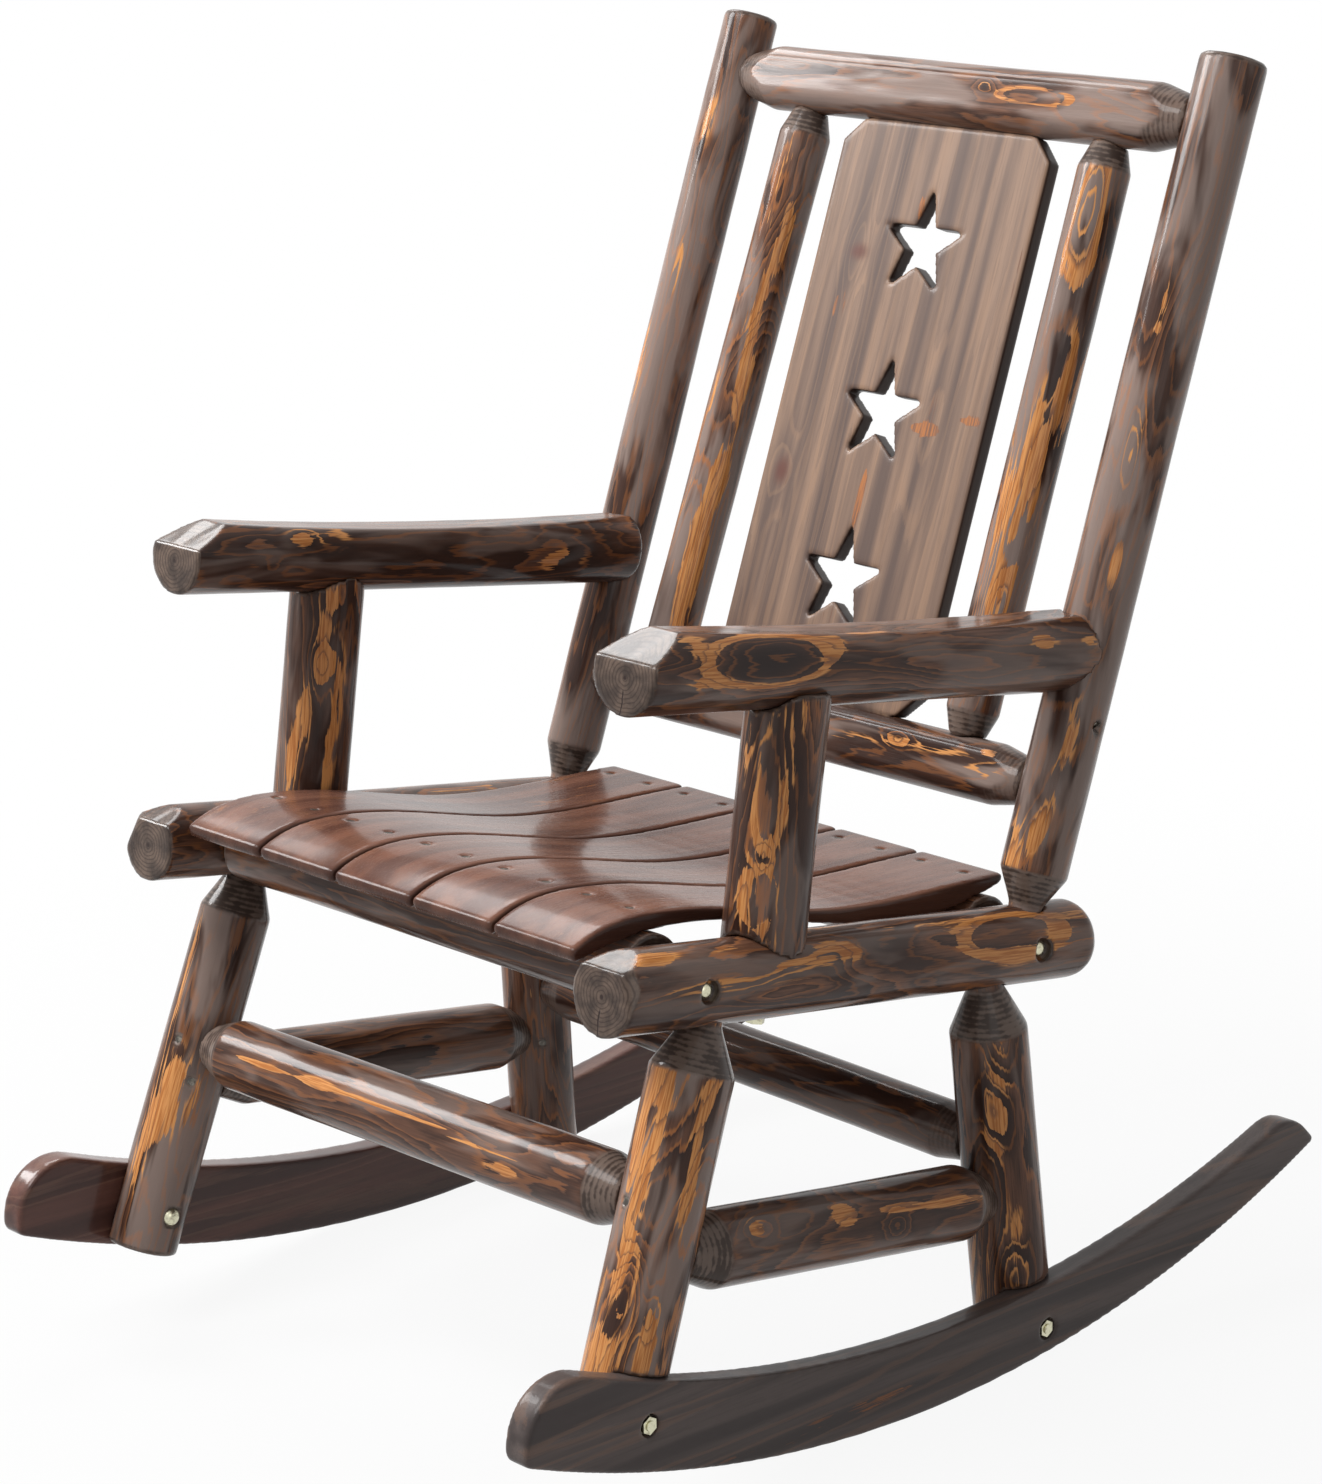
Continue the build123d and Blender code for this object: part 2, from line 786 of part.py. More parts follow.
def make_arm(side):
    radius = arm_diameter(side) / 2
    line = side * (side_line - arm_inset)
    front_up = arm_up(side) + radius - arm_flat_drop
    scoop_up = arm_up(side) + radius - arm_scoop_drop
    rear = arm_rear(side)
    with BuildPart() as arm:
        rod(arm_spot(side, arm_front_back), arm_spot(side, rear), arm_diameter(side))
        # the top is planed to a shallow scoop
        scoop_plane = Plane(origin=spot(line, 0, 0), x_dir=seat.y_dir, z_dir=(1, 0, 0))
        with BuildSketch(scoop_plane):
            with BuildLine():
                ThreePointArc((arm_front_back, front_up), (arm_scoop_back, scoop_up),
                              (rear, front_up))
                Polyline((rear, front_up), (rear, front_up + radius),
                         (arm_front_back, front_up + radius), (arm_front_back, front_up))
            make_face()
        extrude(amount=radius, both=True, mode=Mode.SUBTRACT)
        # the front end is planed to a bevel on top
        shave(spot(line, arm_front_back, arm_up(side) + arm_bevel_height),
              seat.z_dir * arm_bevel_length - seat.y_dir * (radius - arm_bevel_height))
        cope(post_spot(side, 0), post_spot(side, post_top), post_diameter(side))
        low, high = dowel_line(side)
        bore(low, high + seat.z_dir * face_gap, dowel_diameter)
        screw_hole(*toe_screw_line(side), toe_screw_diameter, toe_screw_head)
    return arm.part


# Back posts

def back_rail_shoulder(side):
    """Where a back rail's shoulder starts, before it is coped to the round post."""
    depth = seat_depth(post_diameter(side), back_rail_shoulder_diameter)
    return post_across(side) - post_diameter(side) / 2 + depth


def back_rail_tenon_end(side):
    return post_across(side) - post_diameter(side) / 2 + back_rail_tenon_length


def make_back_post(side):
    radius = post_diameter(side) / 2
    with BuildPart() as post:
        turned(post_spot(side, 0), post_spot(side, post_top), [
            (rail_diameter(side) / 2, post_tenon_diameter / 2),
            (post_cone_top, radius),
            (post_top - post_top_chamfer, radius),
            (post_top, radius - post_top_chamfer),
        ])
        cope(*rail_axis(side), rail_diameter(side))
        rod(post_spot(side, post_tenon_bottom), post_spot(side, post_cone_top),
            post_tenon_diameter)
        for height in (lower_rail_height, crest_height):
            bore(back_spot(0, height),
                 back_spot(side * (back_rail_tenon_end(side) + face_gap), height),
                 back_rail_tenon_diameter)
        screw_hole(*toe_screw_line(side), toe_screw_diameter, toe_screw_head)
    return post.part


# Crest rail, lower back rail, spindles and splat

spindle_bottom = lower_rail_height + lower_rail_diameter / 2 + face_gap
spindle_top = crest_height - crest_diameter / 2 - face_gap


def spindle_line(side):
    """The bottom and top shoulders of a spindle."""
    bottom_across = pick(side, left_spindle_bottom_across, right_spindle_bottom_across)
    top_across = pick(side, left_spindle_top_across, right_spindle_top_across)
    return (back_spot(side * bottom_across, spindle_bottom),
            back_spot(side * top_across, spindle_top))


def make_back_rail(height, diameter, facet, facing):
    """A back rail; facing is the way up or down to the side that holds the spindles."""
    edge = height + facing * diameter / 2
    with BuildPart() as rail:
        tips = [
            (post_across(side) - back_rail_shoulder(side), back_rail_shoulder_diameter,
             post_diameter(side) / 2 + back_rail_cone_length)
            for side in (1, -1)
        ]
        log_with_tips(post_spot(1, height), post_spot(-1, height), diameter, *tips)
        shave(back_spot(0, height, facet), back_plane.z_dir)
        for side in (1, -1):
            cope(post_spot(side, 0), post_spot(side, post_top), post_diameter(side))
        for side in (1, -1):
            rod(back_spot(0, height), back_spot(side * back_rail_tenon_end(side), height),
                back_rail_tenon_diameter)
            bottom, top = spindle_line(side)
            way = (top - bottom).normalized() * (spindle_tenon_length + face_gap)
            bore(bottom - way, top + way, spindle_tenon_diameter)
        # the groove that holds the splat's tongue
        groove_depth = splat_tongue_length + face_gap
        with BuildSketch(back_plane):
            with Locations((splat_across, edge)):
                Rectangle(splat_tongue_width + 2 * fit_gap, 2 * groove_depth)
        extrude(amount=splat_tongue_thickness / 2 + fit_gap, both=True, mode=Mode.SUBTRACT)
    return rail.part


splat_tongue_width = splat_width - 2 * (splat_corner + splat_tongue_inset)


def make_spindle(side):
    bottom, top = spindle_line(side)
    way = (top - bottom).normalized()
    with BuildPart() as spindle:
        tips = []
        for mate_diameter in (lower_rail_diameter, crest_diameter):
            depth = seat_depth(mate_diameter, spindle_shoulder_diameter) + spindle_cope_room
            tips.append((-depth, spindle_shoulder_diameter, spindle_cone_length))
        log_with_tips(bottom, top, spindle_diameter, *tips)
        cope(post_spot(1, lower_rail_height), post_spot(-1, lower_rail_height),
             lower_rail_diameter)
        cope(post_spot(1, crest_height), post_spot(-1, crest_height), crest_diameter)
        rod(bottom - way * spindle_tenon_length, top + way * spindle_tenon_length,
            spindle_tenon_diameter)
    return spindle.part


def make_splat():
    height = spindle_top - spindle_bottom
    middle = (spindle_top + spindle_bottom) / 2
    with BuildSketch() as star:
        with BuildLine():
            tips = []
            for number in range(2 * star_points):
                reach = star_radius * (star_ratio if number % 2 else 1)
                turn = radians(number * 180 / star_points)
                tips.append((reach * sin(turn), reach * cos(turn)))
            Polyline(*tips, close=True)
        make_face()
    with BuildPart() as splat:
        with BuildSketch(back_plane):
            with Locations((splat_across, middle)):
                board = Rectangle(splat_width, height)
            chamfer(board.vertices(), splat_corner)
        extrude(amount=splat_thickness / 2, both=True)
        with BuildSketch(back_plane):
            with Locations((splat_across, middle)):
                Rectangle(splat_tongue_width, height + 2 * splat_tongue_length)
        extrude(amount=splat_tongue_thickness / 2, both=True)
        with BuildSketch(back_plane):
            for number in range(star_count):
                steps = number - (star_count - 1) / 2
                with Locations((splat_across, middle + steps * star_pitch)):
                    add(star.sketch)
        extrude(amount=splat_thickness, both=True, mode=Mode.SUBTRACT)
    return splat.part


# Fasteners: each kind is one node

def make_slat_screws():
    with BuildPart() as screws:
        for back in (front_cross_back, rear_cross_back):
            for across in slat_screw_places:
                screw(*slat_screw_line(across, back), slat_screw_diameter, slat_screw_head)
    return screws.part


def make_rail_bolts():
    with BuildPart() as bolts:
        for side in (1, -1):
            for back in (front_cross_back, rear_cross_back):
                head_top = rail_bolt_seat(side) + face_gap + rail_bolt_head_height
                end = rail_bolt_seat(side) - rail_bolt_length
                domed_bolt(spot(side * head_top, back, cross_rail_up),
                           spot(side * end, back, cross_rail_up),
                           rail_bolt_diameter, rail_bolt_head, rail_bolt_head_height)
    return bolts.part


def make_rocker_bolts():
    with BuildPart() as bolts:
        for leg in legs:
            head_top = bolt_flat(leg) - face_gap - rocker_bolt_head_height
            end = nut_seat + face_gap + washer_thickness + nut_height + bolt_end_past_nut
            domed_bolt(bolt_across(leg, head_top), bolt_across(leg, end),
                       rocker_bolt_diameter, rocker_bolt_head, rocker_bolt_head_height)
    return bolts.part


def make_rocker_washers():
    with BuildPart() as washers:
        for leg in legs:
            start = nut_seat + face_gap
            rod(bolt_across(leg, start), bolt_across(leg, start + washer_thickness),
                washer_diameter)
            bore(bolt_across(leg, rocker_inner), bolt_across(leg, rocker_outer),
                 rocker_bolt_diameter)
    return washers.part


def make_rocker_nuts():
    with BuildPart() as nuts:
        for leg in legs:
            start = bolt_across(leg, nut_seat + washer_thickness + 2 * face_gap)
            with BuildSketch(Plane(origin=start, z_dir=(leg.side, 0, 0))):
                RegularPolygon(nut_width / 2, 6, major_radius=False)
                Circle(rocker_bolt_diameter / 2 + fit_gap, mode=Mode.SUBTRACT)
            extrude(amount=nut_height)
    return nuts.part


def make_arm_post_bolts():
    with BuildPart() as bolts:
        for side in (1, -1):
            under = -rail_diameter(side) / 2 - face_gap
            head = arm_post_spot(side, under - arm_post_bolt_head_height)
            with BuildSketch(Plane(origin=head, x_dir=seat.x_dir, z_dir=seat.z_dir)):
                RegularPolygon(arm_post_bolt_head / 2, 6, major_radius=False)
            extrude(amount=arm_post_bolt_head_height)
            rod(head, arm_post_spot(side, rail_diameter(side) / 2 + arm_post_bolt_grip),
                arm_post_bolt_diameter)
    return bolts.part


def make_arm_dowels():
    with BuildPart() as dowels:
        for side in (1, -1):
            rod(*dowel_line(side), dowel_diameter)
    return dowels.part


def make_toe_screws():
    with BuildPart() as screws:
        for side in (1, -1):
            screw(*toe_screw_line(side), toe_screw_diameter, toe_screw_head)
    return screws.part


def make_pin_screws():
    with BuildPart() as screws:
        for end in all_ends:
            screw(end.pin_head, end.pin_tip, pin_screw_diameter, pin_screw_head)
    return screws.part


for side, word in ((1, "left"), (-1, "right")):
    save(make_rocker(side), f"{word}_rocker")
    save(make_side_rail(side), f"{word}_seat_rail")
    save(make_arm_post(side), f"{word}_arm_post")
    save(make_arm(side), f"{word}_arm")
    save(make_back_post(side), f"{word}_back_post")
    save(make_spindle(side), f"{word}_back_spindle")
save(make_leg(left_front), "left_front_leg")
save(make_leg(right_front), "right_front_leg")
save(make_leg(left_rear), "left_rear_leg")
save(make_leg(right_rear), "right_rear_leg")
save(make_stretcher(front_ends, front_stretcher_diameter), "front_stretcher")
save(make_stretcher(rear_ends, rear_stretcher_diameter), "rear_stretcher")
save(make_stretcher(left_ends, left_stretcher_diameter), "left_stretcher")
save(make_stretcher(right_ends, right_stretcher_diameter), "right_stretcher")
save(make_cross_rail(front_cross_back), "front_cross_rail")
save(make_cross_rail(rear_cross_back), "rear_cross_rail")
for number, centre in enumerate(slat_centres, 1):
    save(make_slat(centre), f"seat_slat_{number}")
save(make_back_rail(crest_height, crest_diameter, crest_facet, -1), "crest_rail")
save(make_back_rail(lower_rail_height, lower_rail_diameter, lower_rail_facet, 1),
     "lower_back_rail")
save(make_splat(), "back_splat")
save(make_slat_screws(), "slat_screws")
save(make_rail_bolts(), "rail_bolts")
save(make_rocker_bolts(), "rocker_bolts")
save(make_rocker_washers(), "rocker_washers")
save(make_rocker_nuts(), "rocker_nuts")
save(make_arm_post_bolts(), "arm_post_bolts")
save(make_arm_dowels(), "arm_dowels")
save(make_toe_screws(), "arm_toe_screws")
save(make_pin_screws(), "stretcher_screws")
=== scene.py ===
import bpy
import math
import numpy as np
from mathutils import Matrix, Vector, noise


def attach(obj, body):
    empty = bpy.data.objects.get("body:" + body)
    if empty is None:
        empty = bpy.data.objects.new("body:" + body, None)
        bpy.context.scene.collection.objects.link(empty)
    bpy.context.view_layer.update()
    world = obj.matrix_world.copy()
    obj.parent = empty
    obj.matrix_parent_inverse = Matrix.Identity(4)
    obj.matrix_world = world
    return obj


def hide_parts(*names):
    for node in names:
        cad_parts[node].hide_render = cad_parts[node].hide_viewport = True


# A rocking chair of scorched and lacquered logs. Every wooden piece gets a skin that is grown over
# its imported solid, with each point's place in the wood written on it for the grain.

print("loading the frame")
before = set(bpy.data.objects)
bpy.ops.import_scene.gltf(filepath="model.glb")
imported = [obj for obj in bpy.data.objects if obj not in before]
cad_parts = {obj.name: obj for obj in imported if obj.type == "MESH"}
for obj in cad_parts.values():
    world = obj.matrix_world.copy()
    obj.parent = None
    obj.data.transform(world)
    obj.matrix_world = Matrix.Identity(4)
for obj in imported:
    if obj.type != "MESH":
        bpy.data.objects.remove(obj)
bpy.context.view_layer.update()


# Camera

cameraSetup = {
    "place": (2.40665, -2.27553, 1.44359),
    "turn": (73.92, 1.26, 46.28),
    "lens": 100.67,
    "sensor": 36.0,
    "farthest": 50.0,
}


def makeCamera():
    data = bpy.data.cameras.new("camera")
    data.lens = cameraSetup["lens"]
    data.sensor_width = cameraSetup["sensor"]
    data.clip_end = cameraSetup["farthest"]
    camera = bpy.data.objects.new("camera", data)
    camera.location = cameraSetup["place"]
    camera.rotation_euler = [math.radians(angle) for angle in cameraSetup["turn"]]
    bpy.context.scene.collection.objects.link(camera)
    bpy.context.scene.camera = camera


# Node helpers

def addNode(tree, kind, **settings):
    made = tree.nodes.new(kind)
    for name, value in settings.items():
        setattr(made, name, value)
    return made


def feed(tree, socket, value):
    # a socket takes either a plain value or the output of another node
    if isinstance(value, bpy.types.NodeSocket):
        tree.links.new(value, socket)
    else:
        socket.default_value = value


def doMath(tree, operation, *values, clamp=False):
    made = addNode(tree, "ShaderNodeMath", operation=operation, use_clamp=clamp)
    for socket, value in zip(made.inputs, values):
        feed(tree, socket, value)
    return made.outputs[0]


def ramp(tree, value, low, high, outLow=0.0, outHigh=1.0):
    # eases from outLow to outHigh while the value goes from low to high
    made = addNode(tree, "ShaderNodeMapRange", interpolation_type="SMOOTHSTEP")
    for socket, given in zip(made.inputs, (value, low, high, outLow, outHigh)):
        feed(tree, socket, given)
    return made.outputs[0]


def sway(tree, wave, amount, base):
    # moves the base up and down by a noise that is taken about its middle
    return doMath(tree, "MULTIPLY_ADD", doMath(tree, "SUBTRACT", wave, 0.5), amount, base)


def mixColour(tree, amount, first, second):
    # the mix node has its two colours on sockets 6 and 7, and their mix on output 2
    made = addNode(tree, "ShaderNodeMix", data_type="RGBA")
    feed(tree, made.inputs[0], amount)
    feed(tree, made.inputs[6], first)
    feed(tree, made.inputs[7], second)
    return made.outputs[2]


def splitPlace(tree, place):
    split = addNode(tree, "ShaderNodeSeparateXYZ")
    feed(tree, split.inputs[0], place)
    return split.outputs


def grainNoise(tree, place, across, along, shift=0.0, detail=2.0, roughness=0.5, distortion=0.0):
    # the grain runs along Z, so the noise has one scale across it and another along it
    join = addNode(tree, "ShaderNodeCombineXYZ")
    for socket, given, scale in zip(join.inputs, splitPlace(tree, place), (across, across, along)):
        feed(tree, socket, doMath(tree, "MULTIPLY_ADD", given, scale, shift))
    made = addNode(tree, "ShaderNodeTexNoise")
    feed(tree, made.inputs["Vector"], join.outputs[0])
    made.inputs["Scale"].default_value = 1.0
    made.inputs["Detail"].default_value = detail
    made.inputs["Roughness"].default_value = roughness
    made.inputs["Distortion"].default_value = distortion
    return made.outputs[0]


def makeGroup(name, takes, gives):
    # takes has a plain number for each input, or None for a place; every output is a number
    tree = bpy.data.node_groups.new(name, "ShaderNodeTree")
    for label, value in takes.items():
        kind = "NodeSocketVector" if value is None else "NodeSocketFloat"
        socket = tree.interface.new_socket(label, in_out="INPUT", socket_type=kind)
        if value is not None:
            socket.default_value = value
    for label in gives:
        tree.interface.new_socket(label, in_out="OUTPUT", socket_type="NodeSocketFloat")
    return tree, addNode(tree, "NodeGroupInput").outputs, addNode(tree, "NodeGroupOutput").inputs


def useGroup(tree, group, **values):
    made = addNode(tree, "ShaderNodeGroup", node_tree=group)
    for label, value in values.items():
        feed(tree, made.inputs[label.replace("_", " ")], value)
    return made.outputs


def readMask(tree, label):
    return addNode(tree, "ShaderNodeAttribute", attribute_name=label).outputs["Fac"]


def readPlace(tree):
    return addNode(tree, "ShaderNodeAttribute", attribute_name="grainPlace").outputs["Vector"]


def startMaterial(name):
    material = bpy.data.materials.new(name)
    material.use_nodes = True
    return material, material.node_tree, material.node_tree.nodes["Principled BSDF"]


def addBump(tree, shader, height, look):
    bump = addNode(tree, "ShaderNodeBump")
    bump.inputs["Strength"].default_value = look["bump"]
    bump.inputs["Distance"].default_value = look["bumpDepth"]
    feed(tree, bump.inputs["Height"], height)
    feed(tree, shader.inputs["Normal"], bump.outputs[0])


# Shared effects. In every dictionary of looks a band is (from, to), over which a share goes from 0
# to 1, or (from, to, share at from, share at to).

flameShape = {
    "broad": {"detail": 1.6, "roughness": 0.45, "distortion": 0.7},
    "wobble": {"across": 70.0, "along": 15.0, "shift": 3.3, "detail": 2.5, "roughness": 0.55,
               "distortion": 0.4},
    "streak": {"across": 620.0, "along": 24.0, "shift": 7.7, "detail": 3.0, "roughness": 0.6},
    "streakTear": 0.75,         # how much streaks and wobble tear the rim of a patch
    "wobbleTear": 1.0,
    "patchRim": (0.0, 0.05),
    "lineRise": (0.0, 0.08),    # a thin line stands at the start of each layer
    "lineFall": (0.16, 0.34, 1.0, 0.0),
}


def makeFlameGroup():
    # growth layers cut by the surface of a log: nested bands, of which some stay unburnt
    look = flameShape
    tree, takes, gives = makeGroup(
        "flameGrain",
        {"Place": None, "Growth": 0.0, "Flame": 0.0, "Across": 15.0, "Along": 3.0, "Rings": 17.0,
         "Wobble": 1.9, "Jag": 0.6},
        ("Line", "Patch", "Shade", "Streak", "Chance"))
    place = takes["Place"]
    broad = grainNoise(tree, place, takes["Across"], takes["Along"], **look["broad"])
    wobble = grainNoise(tree, place, **look["wobble"])
    streak = grainNoise(tree, place, **look["streak"])
    field = doMath(tree, "MULTIPLY_ADD", broad, takes["Rings"], takes["Growth"])
    field = sway(tree, wobble, takes["Wobble"], field)
    field = sway(tree, streak, takes["Jag"], field)
    layer = doMath(tree, "FLOOR", field)
    shade = doMath(tree, "SUBTRACT", field, layer)
    chance = addNode(tree, "ShaderNodeTexWhiteNoise", noise_dimensions="1D")
    feed(tree, chance.inputs["W"], layer)
    # a layer glows where the local flame is stronger than the layer's own chance
    torn = sway(tree, streak, look["streakTear"], takes["Flame"])
    torn = sway(tree, wobble, look["wobbleTear"], torn)
    over = doMath(tree, "SUBTRACT", doMath(tree, "ADD", torn, chance.outputs["Value"]), 1.0)
    rise = ramp(tree, shade, *look["lineRise"])
    fall = ramp(tree, shade, *look["lineFall"])
    feed(tree, gives["Patch"], ramp(tree, over, *look["patchRim"]))
    feed(tree, gives["Line"], doMath(tree, "MULTIPLY", rise, fall))
    feed(tree, gives["Chance"], chance.outputs["Value"])
    feed(tree, gives["Shade"], shade)
    feed(tree, gives["Streak"], streak)
    return tree


endShape = {
    "wander": {"across": 60.0, "along": 2.0},   # the noise that bends the rings and the crack
    "ringBend": 0.006,
    "crackBend": 0.35,
    "crackSide": (0.0004, 0.0011, 1.0, 0.0),    # metres to either side of the crack
    "crackStart": (0.009, 0.012),               # metres from the pith
    "pithRim": (0.0012, 0.0022, 1.0, 0.0),
}


def makeEndGroup():
    # rings of a sawn log end round its pith, and one drying crack
    look = endShape
    tree, takes, gives = makeGroup(
        "sawnEnd",
        {"Place": None, "Ring Width": 0.0034, "Crack": 0.0, "Crack Turn": -1.6},
        ("Ring", "Crack", "Pith"))
    x, y = splitPlace(tree, takes["Place"])[:2]
    wander = grainNoise(tree, takes["Place"], **look["wander"])
    squares = doMath(tree, "ADD", doMath(tree, "MULTIPLY", x, x), doMath(tree, "MULTIPLY", y, y))
    reach = doMath(tree, "SQRT", squares)
    bent = doMath(tree, "MULTIPLY_ADD", wander, look["ringBend"], reach)
    # from 0 to 1 and back over the width of each ring
    ring = doMath(tree, "PINGPONG", doMath(tree, "DIVIDE", bent, takes["Ring Width"]), 0.5)
    feed(tree, gives["Ring"], doMath(tree, "MULTIPLY", ring, 2.0))
    crackTurn = sway(tree, wander, look["crackBend"], takes["Crack Turn"])
    swing = doMath(tree, "SUBTRACT", doMath(tree, "ARCTAN2", y, x), crackTurn)
    aside = doMath(tree, "MULTIPLY", doMath(tree, "ABSOLUTE", swing), reach)
    thin = ramp(tree, aside, *look["crackSide"])
    out = ramp(tree, reach, *look["crackStart"])
    crack = doMath(tree, "MULTIPLY", doMath(tree, "MULTIPLY", thin, out), takes["Crack"])
    feed(tree, gives["Crack"], crack)
    feed(tree, gives["Pith"], ramp(tree, reach, *look["pithRim"]))
    return tree


print("building the shared grain effects")
flameGrain = makeFlameGroup()
sawnEnd = makeEndGroup()


def layeredGrain(tree, look, place, growth, flame):
    return useGroup(tree, flameGrain, Place=place, Growth=growth, Flame=flame, Across=look["across"],
                    Along=look["along"], Rings=look["rings"], Wobble=look["wobble"], Jag=look["jag"])


# Wood of the logs

logBase = {
    "char": (0.020, 0.010, 0.008, 1),
    "dark": (0.036, 0.016, 0.011, 1),
    "brown": (0.150, 0.069, 0.041, 1),
    "sheenGrey": (0.245, 0.182, 0.156, 1),
    "ember": (0.370, 0.130, 0.034, 1),
    "honey": (0.580, 0.260, 0.086, 1),
    "turnedDark": (0.056, 0.039, 0.032, 1),
    "turnedPale": (0.150, 0.110, 0.090, 1),
    "endGrey": (0.036, 0.024, 0.019, 1),
    "endPale": (0.120, 0.082, 0.062, 1),
    # growth layers: scales across and along the log, how many and how ragged
    "across": 15.0,
    "along": 3.0,
    "rings": 17.0,
    "wobble": 1.9,
    "jag": 0.6,
    # scorched wood, with grey patches of painted sheen in it
    "lateWood": (0.45, 1.0, 0.0, 0.75),
    "darkStreak": (0.35, 0.75, 0.0, 0.45),
    "sheenNoise": {"across": 30.0, "along": 6.0, "shift": 6.6, "detail": 3.0, "roughness": 0.55,
                  "distortion": 0.5},
    "paintedSheen": (0.48, 0.62, 0.0, 0.45),
    "burnShare": 0.85,
    # unburnt wood, where the marks put it and, as stray flames, by chance
    "strayNoise": {"across": 12.0, "along": 3.6, "shift": 4.1, "detail": 1.5, "distortion": 0.3},
    "strayFlame": (0.42, 0.66, -0.12, 0.16),
    "luckShare": 0.5,
    "litLine": (0.15, 0.65, 0.27, 1.0),
    "rimGlow": (0.0, 0.4),
    "honeyStreak": (0.36, 0.62),
    "glowFade": (0.70, 1.0, 0.0, 0.8),
    # turned cones and sawn ends
    "mottle": {"across": 60.0, "along": 60.0, "shift": 8.8, "detail": 3.0, "roughness": 0.6},
    "latheRings": 230.0,    # in a metre
    "latheWear": 2.6,
    "wornBand": (0.05, 0.50),
    "endMottle": (0.3, 0.7),
    "endRing": (0.45, 0.95, 0.0, 0.6),
    "crack": 0.0,
    "crackTurn": -1.6,
    # lacquer and relief
    "smoothest": 0.32,
    "roughSwing": 0.2,
    "specular": 0.05,
    "coat": 0.7,
    "endCoat": 1.0,
    "coatIor": 1.28,
    "coatRoughness": 0.13,
    "layerHeight": 0.35,
    "streakHeight": 0.4,
    "latheHeight": 0.8,
    "crackHeight": -3.0,
    "bump": 0.35,
    "bumpDepth": 0.0012,
}
logKinds = {
    "plain": {},
    # a lighter copy with more painted sheen, for the pieces that stand in more light
    "moreSheen": {"paintedSheen": (0.42, 0.56, 0.0, 0.78)},
    "cracked": {"crack": 1.0, "crackTurn": 1.6},
}


def scorchedTone(tree, look, place, masks, grain):
    # every layer has its own tone and darkens towards its late wood
    tone = mixColour(tree, ramp(tree, grain["Chance"], 0.0, 1.0), look["dark"], look["brown"])
    tone = mixColour(tree, ramp(tree, grain["Shade"], *look["lateWood"]), tone, look["char"])
    tone = mixColour(tree, ramp(tree, grain["Streak"], *look["darkStreak"]), tone, look["dark"])
    # grey patches of painted sheen: the lacquer's pale reflection laid into the colour
    paintedSheen = ramp(tree, grainNoise(tree, place, **look["sheenNoise"]), *look["paintedSheen"])
    tone = mixColour(tree, paintedSheen, tone, look["sheenGrey"])
    burnt = doMath(tree, "MULTIPLY", masks["burn"], look["burnShare"], clamp=True)
    return mixColour(tree, burnt, tone, look["char"])


def addFlames(tree, look, masks, grain, flame, tone):
    # unburnt wood shows as thin lines between the layers and as whole patches of a layer
    luck = doMath(tree, "MULTIPLY", grain["Chance"], look["luckShare"])
    lit = ramp(tree, doMath(tree, "ADD", flame, luck), *look["litLine"])
    line = doMath(tree, "MULTIPLY", doMath(tree, "MULTIPLY", grain["Line"], lit), masks["plain"])
    rim = mixColour(tree, ramp(tree, flame, *look["rimGlow"]), look["ember"], look["honey"])
    tone = mixColour(tree, line, tone, rim)
    streak = ramp(tree, grain["Streak"], *look["honeyStreak"])
    glow = mixColour(tree, streak, look["ember"], look["honey"])
    glow = mixColour(tree, ramp(tree, grain["Shade"], *look["glowFade"]), glow, look["brown"])
    return mixColour(tree, doMath(tree, "MULTIPLY", grain["Patch"], masks["plain"]), tone, glow)


def turnedTone(tree, look, lathe, mottle):
    # a turned cone is pale in the grooves that the lathe left, and dark between them
    worn = ramp(tree, sway(tree, mottle, look["latheWear"], lathe), *look["wornBand"])
    return mixColour(tree, worn, look["turnedPale"], look["turnedDark"])


def endTone(tree, look, end, mottle):
    tone = mixColour(tree, ramp(tree, mottle, *look["endMottle"]), look["endGrey"], look["endPale"])
    tone = mixColour(tree, ramp(tree, end["Ring"], *look["endRing"]), tone, look["char"])
    return mixColour(tree, doMath(tree, "MAXIMUM", end["Crack"], end["Pith"]), tone, look["char"])


def finishWood(tree, shader, look, grain, height):
    # satin lacquer over brushed grain
    rough = doMath(tree, "MULTIPLY_ADD", grain["Streak"], look["roughSwing"], look["smoothest"])
    feed(tree, shader.inputs["Roughness"], rough)
    shader.inputs["Specular IOR Level"].default_value = look["specular"]
    shader.inputs["Coat IOR"].default_value = logBase["coatIor"]
    shader.inputs["Coat Roughness"].default_value = look["coatRoughness"]
    addBump(tree, shader, height, look)


def brushedHeight(tree, look, grain):
    streaks = doMath(tree, "MULTIPLY", grain["Streak"], look["streakHeight"])
    return doMath(tree, "MULTIPLY_ADD", grain["Shade"], look["layerHeight"], streaks)


